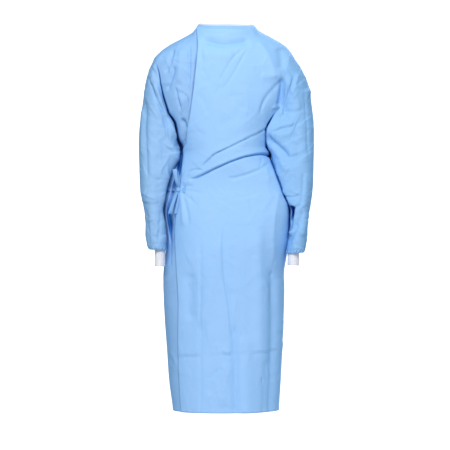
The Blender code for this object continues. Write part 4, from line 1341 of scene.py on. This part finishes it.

# %% [markdown]
# ## The waist ties and their bow
#
# Two flat tapes of the gown's own cloth meet at the wearer's left back and are tied in a bow. A
# tape is a narrow grid: its middle line is a smooth curve through given points, its width runs
# along one direction, and a slight cup across the width keeps it from looking like a ruler.

# %% Tapes
KNOT = np.array((-0.1530, -0.0761, -0.5390))
KNOT_ANGLE = float(angle_across(KNOT[0] + 0.004, KNOT[2]))
TAPE_WIDTH = 0.024
TAPE_NARROWING = 0.62
TAPE_PLEAT = 0.0006
TAPE_ACROSS = 9
FRONT_TAPE = {
    # share: steps along it; start: angle and height where it is sewn on; stop: angle at the knot;
    # narrows and pleats: shares along it where these begin; lift: how far it is off the body
    "share": np.linspace(0.0, 1.0, 120)[None, :],
    "start": (0.72 * math.pi, -0.522),
    "stop": KNOT_ANGLE - 0.10,
    "narrows": 0.6,
    "pleats": 0.55,
    "lift": 0.0027,
}
BACK_TAPE = {
    "share": np.linspace(1.0, 0.0, 30)[None, :],
    "start": (float(angle_across(-0.128, KNOT[2])), KNOT[2]),
    "stop": KNOT_ANGLE + 0.075,
    "narrows": 0.2,
    "pleats": 0.3,
    "lift": LAP_LIFT + 0.0018,
}


def make_tie(name, share, start, stop, narrows, pleats, lift):
    """Lies on the gown from where it is sewn on, and narrows and pleats towards the knot."""
    side = np.linspace(0.5, -0.5, TAPE_ACROSS)[:, None]
    angle = start[0] + (stop - start[0]) * share + 0 * side
    middle = start[1] + (KNOT[2] - start[1]) * share
    width = TAPE_WIDTH * (1 - TAPE_NARROWING * ease(share, narrows, 1.0))
    pleat = TAPE_PLEAT * np.cos(side * 3 * TURN) * ease(share, pleats, 1.0)
    return cloth_piece(name, on_body(angle, middle + width * side, lift + pleat))


make_tie("gown_tie_front", **FRONT_TAPE)
make_tie("gown_tie_back", **BACK_TAPE)

# %% [markdown]
# ## The bow
#
# Two loops and two free ends come out of the knot. Each is a tape on its own middle line, which is
# a smooth curve through given points, and is wider and more cupped away from the knot. A
# curve object with a bevel would make a tape too, but not one that narrows and cups by a rule.

# %% Bow
BOW = {
    # points of the tape's middle line from the knot, the way its width runs, its half widths at the
    # knot and at its widest, and how far its middle cups in
    "bow_loop_upper": (
        ((0, -3, 7.9), (-5, -13, 24), (-9, -17, 44), (-11, -15, 58), (-11, -9, 65), (-8, -3, 60),
         (-3, 0, 44), (1, 1, 24), (2, 1, 8.8)),
        (0.93, -0.36, 0.0), (3.2, 8.0), 2.2,
    ),
    "bow_loop_lower": (
        ((-3, -4, -7.2), (-10, -14, -24), (-19, -20, -48), (-24.5, -20, -68), (-26.5, -13, -79),
         (-25, -5, -74), (-19, -1, -54), (-11, 1, -30), (-4, 1, -8.6)),
        (0.80, -0.60, 0.0), (3.2, 8.6), 2.6,
    ),
    "tie_tail_a": (
        ((2, -3.5, -8.4), (0.5, -11, -28), (-4, -14, -52), (-9, -14, -76)),
        (0.90, -0.40, 0.0), (3.0, 4.6), 0.8,
    ),
    "tie_tail_b": (
        ((4.5, 2, -8.7), (6, -1, -24), (4, -4, -44), (1, -5, -60)),
        (0.95, -0.30, 0.0), (3.4, 4.4), 0.6,
    ),
}
BOW_STEPS = 90
BOW_PLEAT = 0.0005


def make_bow_tape(name):
    """Middle line plus half width times the width's direction, cupped by 1 - s^2 across it."""
    points, width_axis, (narrow, wide), cup = BOW[name]
    path = KNOT + smooth_line(np.array(points) * MILLIMETRE, BOW_STEPS)
    share = np.linspace(0.0, 1.0, len(path))[None, :, None]
    swell = np.sin(math.pi * share) if "loop" in name else ease(share, 0.0, 0.6)
    half = (narrow + (wide - narrow) * swell) * MILLIMETRE * np.array(width_axis)
    side = np.linspace(1.0, -1.0, TAPE_ACROSS)[:, None, None]
    face = unit(np.cross(np.array(width_axis), np.gradient(path, axis=0)))
    bend = cup * MILLIMETRE * swell * (1 - side**2)
    pleat = BOW_PLEAT * np.cos(side * 1.5 * math.pi) * (1 - swell)
    return cloth_piece("gown_" + name, path + half * side + face * (bend + pleat))


for name in BOW:
    make_bow_tape(name)

# %% [markdown]
# ## The knot
#
# The knot is the tape wound once round itself and pulled tight. It is a closed egg whose radius has
# slanting wraps, each a rounded ridge with a crease beside it: |sin| of a slanting angle.

# %% Knot
KNOT_HALF_SIZES = (0.0082, 0.0065, 0.0092)
KNOT_ROWS, KNOT_COLUMNS = 40, 56
WRAP_DEPTH = 0.14  # share of the radius
WRAPS, WRAP_SLANT, WRAP_POWER = 2.5, 0.5, 0.6  # a power below 1 rounds the ridges


def make_knot():
    """An ellipsoid whose radius sinks between ridges, |sin(2.5 * slanted angle)|^0.6."""
    polar = np.linspace(0.0, math.pi, KNOT_ROWS)[:, None]
    turn = (np.arange(KNOT_COLUMNS) * TURN / KNOT_COLUMNS)[None, :]
    ridges = np.abs(np.sin(WRAPS * polar + WRAP_SLANT * np.cos(turn))) ** WRAP_POWER
    pinch = 1 - WRAP_DEPTH * (1 - ridges) * np.sin(polar)
    ball = [np.sin(polar) * np.cos(turn), np.sin(polar) * np.sin(turn), np.cos(polar) + 0 * turn]
    grid = np.stack(ball, axis=-1) * np.array(KNOT_HALF_SIZES) * pinch[..., None] + KNOT
    points = np.concatenate([grid[1:-1].reshape(-1, 3), grid[:1, 0], grid[-1:, 0]])
    faces = grid_faces(KNOT_ROWS - 2, KNOT_COLUMNS, True).tolist()
    bottom = (KNOT_ROWS - 3) * KNOT_COLUMNS
    top_pole, bottom_pole = len(points) - 2, len(points) - 1
    around = [(here, (here + 1) % KNOT_COLUMNS) for here in range(KNOT_COLUMNS)]
    faces += [(beside, top_pole, here) for here, beside in around]
    faces += [(bottom + here, bottom_pole, bottom + beside) for here, beside in around]
    return mesh_piece("gown_knot", points, faces)


make_knot()
print("bow pieces:", ", ".join(BOW))

# %% [markdown]
# ## Stitches
#
# The binding is sewn with one row of small stitches. Each is the same little spindle of 14 faces,
# set along the neckline by arrays, so all of them cost next to nothing.

# %% Stitches
STITCH_PITCH = 0.0042
STITCH_SIZES = (0.0013, 0.00022)  # half length and half thickness
STITCH_UP, STITCH_OUT = 0.30, 0.00035  # share of the binding's height, and metres off its leg
STITCH_ENDS = 0.02  # angle left free at both ends of the neckline
NECK_STEPS = 2000  # places at which the neckline's length is measured


def stitch_row(name, middles, along, out):
    """A spindle of 4 rings of 4 points at each middle: long way along, thick way out."""
    length, thick = STITCH_SIZES
    shares = np.array([-1.0, -0.5, 0.5, 1.0])[:, None, None] * length
    thickness = np.array([0.3, 1.0, 1.0, 0.3])[:, None, None] * thick
    turn = (np.arange(4) * TURN / 4)[:, None]
    middles, along, out = (array[:, None, None] for array in (middles, along, out))
    around = out * np.sin(turn) + np.cross(along, out) * np.cos(turn)
    points = middles + along * shares + around * thickness
    each = np.concatenate([grid_faces(4, 4, True), [[0, 1, 2, 3], [15, 14, 13, 12]]])
    faces = (np.arange(len(middles))[:, None, None] * 16 + each).reshape(-1, 4)
    print("stitches:", len(middles))
    return mesh_piece(name, points, faces.tolist())


def make_binding_stitches():
    """Stitches an equal way apart along the outer leg of the binding."""
    dense = np.linspace(NECK_START + STITCH_ENDS, NECK_END - STITCH_ENDS, NECK_STEPS)
    steps = np.linalg.norm(np.diff(neck_edge(dense)[0], axis=0), axis=-1)
    run = np.concatenate([[0.0], np.cumsum(steps)])
    angle = np.interp(np.arange(0.0, run[-1], STITCH_PITCH), run, dense)
    base, lean, out = neck_edge(angle)
    along = unit(np.gradient(base, axis=0))
    middles = base + lean * (BINDING_HEIGHT * STITCH_UP) + out * (BINDING_LEGS + STITCH_OUT)
    return stitch_row("gown_binding_stitches", middles, along, out)


gown_binding_stitches = make_binding_stitches()

# %% [markdown]
# ## Writing shader maths as Python
#
# A material is a small program of nodes. Wired by hand it is hard to read, so one class stands for
# a socket and turns + * ** into Math nodes, and one method makes any other node by its name.

# %% A socket as a number
class Socket:
    """A value in a material; arithmetic on it adds Math nodes to the same tree."""

    def __init__(self, paint, output):
        self.paint, self.output = paint, output

    def maths(self, operation, second=0.0):
        return self.paint.node("ShaderNodeMath", {"operation": operation}, {0: self, 1: second})

    def __add__(self, other):
        return self.maths("ADD", other)

    def __mul__(self, other):
        return self.maths("MULTIPLY", other)

    def __pow__(self, other):
        return self.maths("POWER", other)

    def sine(self):
        return self.maths("SINE")

    def size(self):
        return self.maths("ABSOLUTE")


print("a socket can be added, multiplied, raised to a power, and have its sine or size taken")

# %% A material as a paint
class Paint:
    """A material with one Principled shader, whose fixed values are given by socket."""

    def __init__(self, name, values):
        self.material = bpy.data.materials.new(name)
        self.material.use_nodes = True
        self.tree = self.material.node_tree
        self.shader = self.tree.nodes["Principled BSDF"]
        for socket, value in values.items():
            self.shader.inputs[socket].default_value = value

    def node(self, kind, settings=None, inputs=None, output=0):
        """Adds a node: its settings first, then the values or links of its sockets."""
        made = self.tree.nodes.new(kind)
        for key, value in (settings or {}).items():
            setattr(made, key, value)
        for key, value in (inputs or {}).items():
            if isinstance(value, Socket):
                self.tree.links.new(value.output, made.inputs[key])
            else:
                made.inputs[key].default_value = value
        return Socket(self, made.outputs[output])

    def noise(self, where, scale, detail=2.0, roughness=0.5):
        """A noise texture's value, with so many details to the metre."""
        inputs = {"Vector": where, "Scale": scale, "Detail": detail, "Roughness": roughness}
        return self.node("ShaderNodeTexNoise", None, inputs)

    def mix(self, factor, first, second):
        """Mixes two colours by a factor."""
        inputs = {0: factor, 6: first, 7: second}
        return self.node("ShaderNodeMix", {"data_type": "RGBA"}, inputs, output=2)

    def place(self, uv):
        """Object coordinates, or the piece's own UV map in metres."""
        return self.node("ShaderNodeTexCoord", output=2 if uv else 3)

    def split(self, vector):
        """The first two parts of a vector."""
        parts = self.node("ShaderNodeSeparateXYZ", None, {0: vector}).output.node.outputs
        return Socket(self, parts[0]), Socket(self, parts[1])

    def feed(self, socket, value):
        """Links a value to the Principled shader."""
        self.tree.links.new(value.output, self.shader.inputs[socket])

    def bump(self, height, strength=1.0):
        """Height in metres, turned into a bent normal."""
        inputs = {"Strength": strength, "Distance": 1.0, "Height": height}
        self.feed("Normal", self.node("ShaderNodeBump", None, inputs))


# %% [markdown]
# ## The non-woven cloth
#
# The cloth is spun and bonded plastic fibre: matt, slightly uneven in density, with a lattice of
# tiny bond points. Its colour varies by a few hundredths in clouds and fibres. A deep blue painted
# shade is mixed in at the bottom of grooves and creases, by the depth that each piece keeps as its
# attribute "groove". The bump has three sizes: bond points of about a millimetre, fibres between
# them, and flat facets of a few centimetres that stiff cloth breaks into. Sheen and highlights are
# faint: fibre this fine scatters almost all light, and stronger ones would turn the grooves' walls
# grey.

# %% Cloth material
CLOTH_BLUE = (0.350, 0.595, 0.925)
CLOTH_DEEP = (0.320, 0.560, 0.905)  # where the fibre lies thinner
CLOTH_EDGE_SHADE = (0.250, 0.550, 0.930)  # painted shade: darker and bluer where the cloth is seen edge on
# painted shade: the deep blue mixed into the cloth at the bottom of grooves and creases
GROOVE_SHADE_BLUE = (0.045, 0.240, 0.640, 1.0)
CLOTH_SHADE_TINTS = {
    # painted shade: what each piece's copy of the cloth keeps of the red, green and blue,
    # so that the under panel, the sleeves and the tapes come out darker
    "front": (1.00, 1.00, 1.00),
    "back_left": (0.90, 0.90, 0.91),
    "back_right": (1.00, 1.00, 1.00),
    "sleeve_left": (0.88, 0.88, 0.87),
    "sleeve_right": (0.83, 0.89, 0.91),
    "tape": (0.72, 0.80, 0.86),
}
CLOTH_VALUES = {
    "Roughness": 0.62, "Sheen Weight": 0.02, "Sheen Roughness": 0.45, "Specular IOR Level": 0.10,
}
CLOUD_SCALE, FIBRE_SCALE, FACET_SCALE = 14.0, 900.0, 17.0
EDGE_SHADE_SHARE = 0.9
ROUGH_LEAST, ROUGH_SPREAD = 0.58, 0.12
BOND_PITCH = 0.0022
BOND_DEPTH, FIBRE_RISE, FACET_RISE, CLOUD_RISE = -0.00003, 0.00003, 0.0022, 0.0012
BUMP_STRENGTH = 0.5
CLOUD_SHARE, FIBRE_SHARE = 0.7, 0.3  # of both in how thin the fibre looks


def make_cloth_paint(name, seed):
    """The cloth in one piece's painted-shade tint, with its clouds and facets moved by its seed."""
    deep, blue, edge_shade = (
        tuple(part * share for part, share in zip(colour, CLOTH_SHADE_TINTS[name])) + (1.0,)
        for colour in (CLOTH_DEEP, CLOTH_BLUE, CLOTH_EDGE_SHADE)
    )
    paint = Paint("cloth_" + name, CLOTH_VALUES)
    uv, where = paint.place(uv=True), paint.place(uv=False)
    moved = {"Vector": where, "Location": (seed, 0.3 * seed, 0.0)}
    shifted = paint.node("ShaderNodeMapping", None, moved)
    clouds = paint.noise(shifted, CLOUD_SCALE, detail=4.0, roughness=0.6)
    fibres = paint.noise(uv, FIBRE_SCALE, detail=2.0, roughness=0.7)
    straight_on = paint.mix(clouds * CLOUD_SHARE + fibres * FIBRE_SHARE, deep, blue)
    # painted shade: the colour turns darker and bluer where the cloth is seen edge on
    facing = paint.node("ShaderNodeLayerWeight", None, {"Blend": 0.5}, output=1)
    surface = paint.mix(facing * EDGE_SHADE_SHARE, straight_on, edge_shade)
    # painted shade: the attribute groove mixes the colour towards deep blue in grooves and creases
    groove = paint.node("ShaderNodeAttribute", {"attribute_name": "groove"}, output=2)
    paint.feed("Base Color", paint.mix(groove, surface, GROOVE_SHADE_BLUE))
    paint.feed("Roughness", fibres * ROUGH_SPREAD + ROUGH_LEAST)
    across, down = paint.split(uv)
    lattice = (across * (TURN / BOND_PITCH)).sine() * (down * (TURN / BOND_PITCH)).sine()
    cells = {"Vector": shifted, "Scale": FACET_SCALE, "Smoothness": 0.35}
    facets = paint.node("ShaderNodeTexVoronoi", {"feature": "SMOOTH_F1"}, cells)
    height = lattice.size() ** 3.0 * BOND_DEPTH + fibres * FIBRE_RISE
    paint.bump(height + facets * FACET_RISE + clouds * CLOUD_RISE, strength=BUMP_STRENGTH)
    return paint.material


cloth_paints = {
    name: make_cloth_paint(name, float(seed)) for seed, name in enumerate(CLOTH_SHADE_TINTS)
}
print("cloth materials:", len(cloth_paints))

# %% [markdown]
# ## The white knit and the binding
#
# The cuffs are polyester rib knit: rows of small V stitches. Two sines of the UV map, one slanted
# by the other, give the V. The binding is a thin white tape, almost smooth, with fine cross ribs.

# %% Knit and binding materials
KNIT_WHITE = (0.93, 0.92, 0.95, 1.0)
KNIT_SHADE = (0.82, 0.82, 0.87, 1.0)
BINDING_WHITE = (0.70, 0.77, 0.89, 1.0)
BINDING_SHADE = (0.62, 0.70, 0.85, 1.0)
STITCH_WIDTH, STITCH_HEIGHT = 0.0034, 0.0014
BINDING_RIB = 0.0012
KNIT_SLANT = 2.2  # how far a column shifts its row of stitches, as an angle
KNIT_LIGHT, KNIT_RISE = (0.25, 0.35, 0.4), (0.00010, 0.00018, 0.00006)  # rows, columns and fuzz
TAPE_LIGHT, TAPE_RISE = (0.2, 0.6), (0.00005, 0.00004)  # ribs and fuzz


def make_knit_paint():
    """White knit: rows of stitches, slanted by their columns, under a fine fuzz."""
    paint = Paint("cuff_knit", {"Roughness": 0.85, "Sheen Weight": 0.35})
    uv = paint.place(uv=True)
    across, down = paint.split(uv)
    column = (across * (TURN / STITCH_WIDTH)).sine().size()
    rows = (down * (TURN / STITCH_HEIGHT) + column * KNIT_SLANT).sine()
    fuzz = paint.noise(uv, 1400.0, detail=3.0)
    light = rows * KNIT_LIGHT[0] + column * KNIT_LIGHT[1] + fuzz * KNIT_LIGHT[2]
    paint.feed("Base Color", paint.mix(light, KNIT_SHADE, KNIT_WHITE))
    relief = rows * KNIT_RISE[0] + column * KNIT_RISE[1] + fuzz * KNIT_RISE[2]
    paint.bump(relief, strength=0.8)
    return paint.material


def make_binding_paint():
    """White tape: fine ribs across it under a little fuzz."""
    paint = Paint("neck_tape", {"Roughness": 0.75, "Sheen Weight": 0.15})
    uv = paint.place(uv=True)
    ribs = (paint.split(uv)[0] * (TURN / BINDING_RIB)).sine()
    fuzz = paint.noise(uv, 1100.0, detail=2.0)
    light = ribs * TAPE_LIGHT[0] + fuzz * TAPE_LIGHT[1]
    paint.feed("Base Color", paint.mix(light, BINDING_SHADE, BINDING_WHITE))
    paint.bump(ribs * TAPE_RISE[0] + fuzz * TAPE_RISE[1], strength=0.8)
    return paint.material


def make_thread_paint():
    """White thread, mottled by its twist."""
    paint = Paint("white_thread", {"Roughness": 0.55})
    twist = paint.noise(paint.place(uv=False), 2600.0, detail=1.0)
    paint.feed("Base Color", paint.mix(twist, BINDING_SHADE, KNIT_WHITE))
    return paint.material


paints = {"knit": make_knit_paint(), "binding": make_binding_paint(), **cloth_paints}
thread_paint = make_thread_paint()
print("materials:", len(paints) + 1)

# %% [markdown]
# ## What each piece stands for
#
# The frame holds the solid parts. Each cloth piece hides the solid that it replaces and moves with
# the root body, and its finish picks its paint; the table also gives, for a sheet, the size that it
# was cut to. A piece with a painted-shade tint of its own takes the paint of its own name, and the
# others that of their finish.

# %% Pieces, finishes and cut sizes
SHEETS = {
    # solid: finish, flat size, flat area where pieces are cut out of it, held, rests on
    "front": ("cloth", (0.640, 1.260), 0.600, "hung", "neck_binding"),
    "back_left": ("cloth", (0.400, 1.260), 0.323, "hung", "front"),
    "back_right": ("cloth", (0.560, 1.265), 0.531, "hung", "front"),
    "sleeve_left": ("cloth", (0.430, 0.620), 0.175, "hung", "front"),
    "sleeve_right": ("cloth", (0.440, 0.640), 0.185, "hung", "front"),
    "cuff_left": ("knit", (0.157, 0.063), None, "stretched", "sleeve_left"),
    "cuff_right": ("knit", (0.163, 0.048), None, "stretched", "sleeve_right"),
    "neck_binding": ("binding", (0.0190, 0.520), None, "folded", "front"),
    "tie_front": ("tape", (0.024, 0.240), None, "laid", "front"),
    "tie_back": ("tape", (0.018, 0.014), None, "laid", "back_right"),
    "bow_loop_upper": ("tape", (0.014, 0.125), None, "folded", "knot"),
    "bow_loop_lower": ("tape", (0.015, 0.155), None, "folded", "knot"),
    "tie_tail_a": ("tape", (0.0100, 0.072), None, "hung", "knot"),
    "tie_tail_b": ("tape", (0.0100, 0.053), None, "hung", "knot"),
}


def finish_piece(piece, paint, slot, solid=None):
    """Paints a piece, sets it on the root body and hides the solid it replaces; its finish is not
    used.
    """
    piece.data.materials.append(paint)
    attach(piece, "root")
    if solid:
        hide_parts(solid)


for solid, (slot, flat, area, held, rests_on) in SHEETS.items():
    piece = bpy.data.objects["gown_" + solid]
    finish_piece(piece, paints.get(solid) or paints[slot], slot, solid)
finish_piece(bpy.data.objects["gown_knot"], paints["tape"], "tape", "knot")
finish_piece(gown_binding_stitches, thread_paint, "binding")
print("sheets:", len(SHEETS))

# %% [markdown]
# ## Floor and backdrop
#
# The gown hangs free above a pale floor, and a white sheet far behind it makes the ground white.
# The sheet shines by itself, so that it is even, which a lit wall never is.

# %% Stage
FLOOR_HEIGHT = -1.550
FLOOR_SIZE = 1.15
FLOOR_COLOURS = (0.86, 0.86, 0.87, 1.0), (0.90, 0.90, 0.91, 1.0)
BACKDROP = {"distance": 9.0, "half_width": 4.0, "low": -3.5, "high": 3.0}
BACKDROP_VALUES = {
    "Roughness": 1.0,
    "Base Color": (0.9, 0.9, 0.9, 1.0),
    "Emission Color": (1.0, 1.0, 1.0, 1.0),
    "Emission Strength": 1.0,
}


def flat_sheet(name, corners, paint):
    """One quad from its four corners."""
    sheet = mesh_piece(name, np.array(corners, dtype=float), [(0, 1, 2, 3)])
    sheet.data.materials.append(paint.material)
    sheet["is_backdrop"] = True
    return sheet


floor_paint = Paint("pale_floor", {"Roughness": 0.8})
floor_shade = floor_paint.noise(floor_paint.place(uv=False), 3.0)
floor_paint.feed("Base Color", floor_paint.mix(floor_shade, *FLOOR_COLOURS))
round_floor = ((-1, -1), (1, -1), (1, 1), (-1, 1))
floor_corners = [(x * FLOOR_SIZE, y * FLOOR_SIZE, FLOOR_HEIGHT) for x, y in round_floor]
flat_sheet("floor", floor_corners, floor_paint)

far, half, low, high = (BACKDROP[key] for key in ("distance", "half_width", "low", "high"))
backdrop_corners = [(-half, far, low), (half, far, low), (half, far, high), (-half, far, high)]
flat_sheet("backdrop", backdrop_corners, Paint("white_backdrop", BACKDROP_VALUES))

print("floor at", FLOOR_HEIGHT, "m, backdrop", far, "m behind")

# %% [markdown]
# ## Light
#
# Blue cloth on white needs soft light from all round, so that shadows stay blue, and one stronger
# light high up on the viewer's side, almost central, so that folds still read. The world gives the
# first and an area light the second. Another light behind the gown keeps its front and its edges
# bright.

# %% Light
WORLD_STRENGTH = 0.37
WORLD_COLOUR = (0.86, 0.99, 1.12, 1.0)
LIGHT_AIM = (0.0, 0.0, -0.60)
LIGHTS = {
    # place, size, power, colour
    "key": ((-0.22, -3.28, 1.70), 1.6, 126.0, (1.05, 1.00, 0.975)),
    "fill": ((1.60, 3.40, 1.40), 2.0, 90.0, (1.0, 1.0, 1.0)),
}


def make_light(name, place, size, power, colour):
    """A square area light at place, its back turned away from the gown."""
    lamp = bpy.data.lights.new(name, "AREA")
    lamp.size, lamp.energy, lamp.color = size, power, colour
    light = bpy.data.objects.new(name, lamp)
    light.location = place
    light.visible_camera = False
    away = Vector(place) - Vector(LIGHT_AIM)
    light.rotation_euler = away.to_track_quat("Z", "Y").to_euler()
    bpy.context.scene.collection.objects.link(light)


for name, settings in LIGHTS.items():
    make_light(name, *settings)
world = bpy.data.worlds.new("studio")
world.use_nodes = True
background = world.node_tree.nodes["Background"].inputs
background["Color"].default_value = WORLD_COLOUR
background["Strength"].default_value = WORLD_STRENGTH
bpy.context.scene.world = world
bpy.context.scene.view_settings.view_transform = "Standard"
print("lights:", ", ".join(LIGHTS))

# %% [markdown]
# ## Camera
#
# The camera looks straight at the back from as far as a long lens stands, so that sleeves and hem
# keep their real proportions. The lens follows from the width of the view and the distance.

# %% Camera
VIEW_WIDTH = 1.4625  # metres across the picture at the gown
CAMERA_DISTANCE = 7.0
CAMERA_PLACE = (-0.00325, -CAMERA_DISTANCE, -0.652)
SENSOR = 36.0

lens = bpy.data.cameras.new("camera")
lens.sensor_width = SENSOR
lens.lens = SENSOR * CAMERA_DISTANCE / VIEW_WIDTH
camera = bpy.data.objects.new("camera", lens)
camera.location = CAMERA_PLACE
camera.rotation_euler = (math.pi / 2, 0.0, 0.0)
bpy.context.scene.collection.objects.link(camera)
bpy.context.scene.camera = camera
print("lens:", round(lens.lens, 1), "mm")

# %% [markdown]
# ## Measuring
#
# The pieces' box is worked out and set beside the solids' own, which shows how closely the cloth
# keeps to them.

# %% Measure and finish
low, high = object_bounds()
sizes = {"cad": [cad_low, cad_high], "visual": [list(low), list(high)]}
print("visual box from", list(low), "to", list(high))
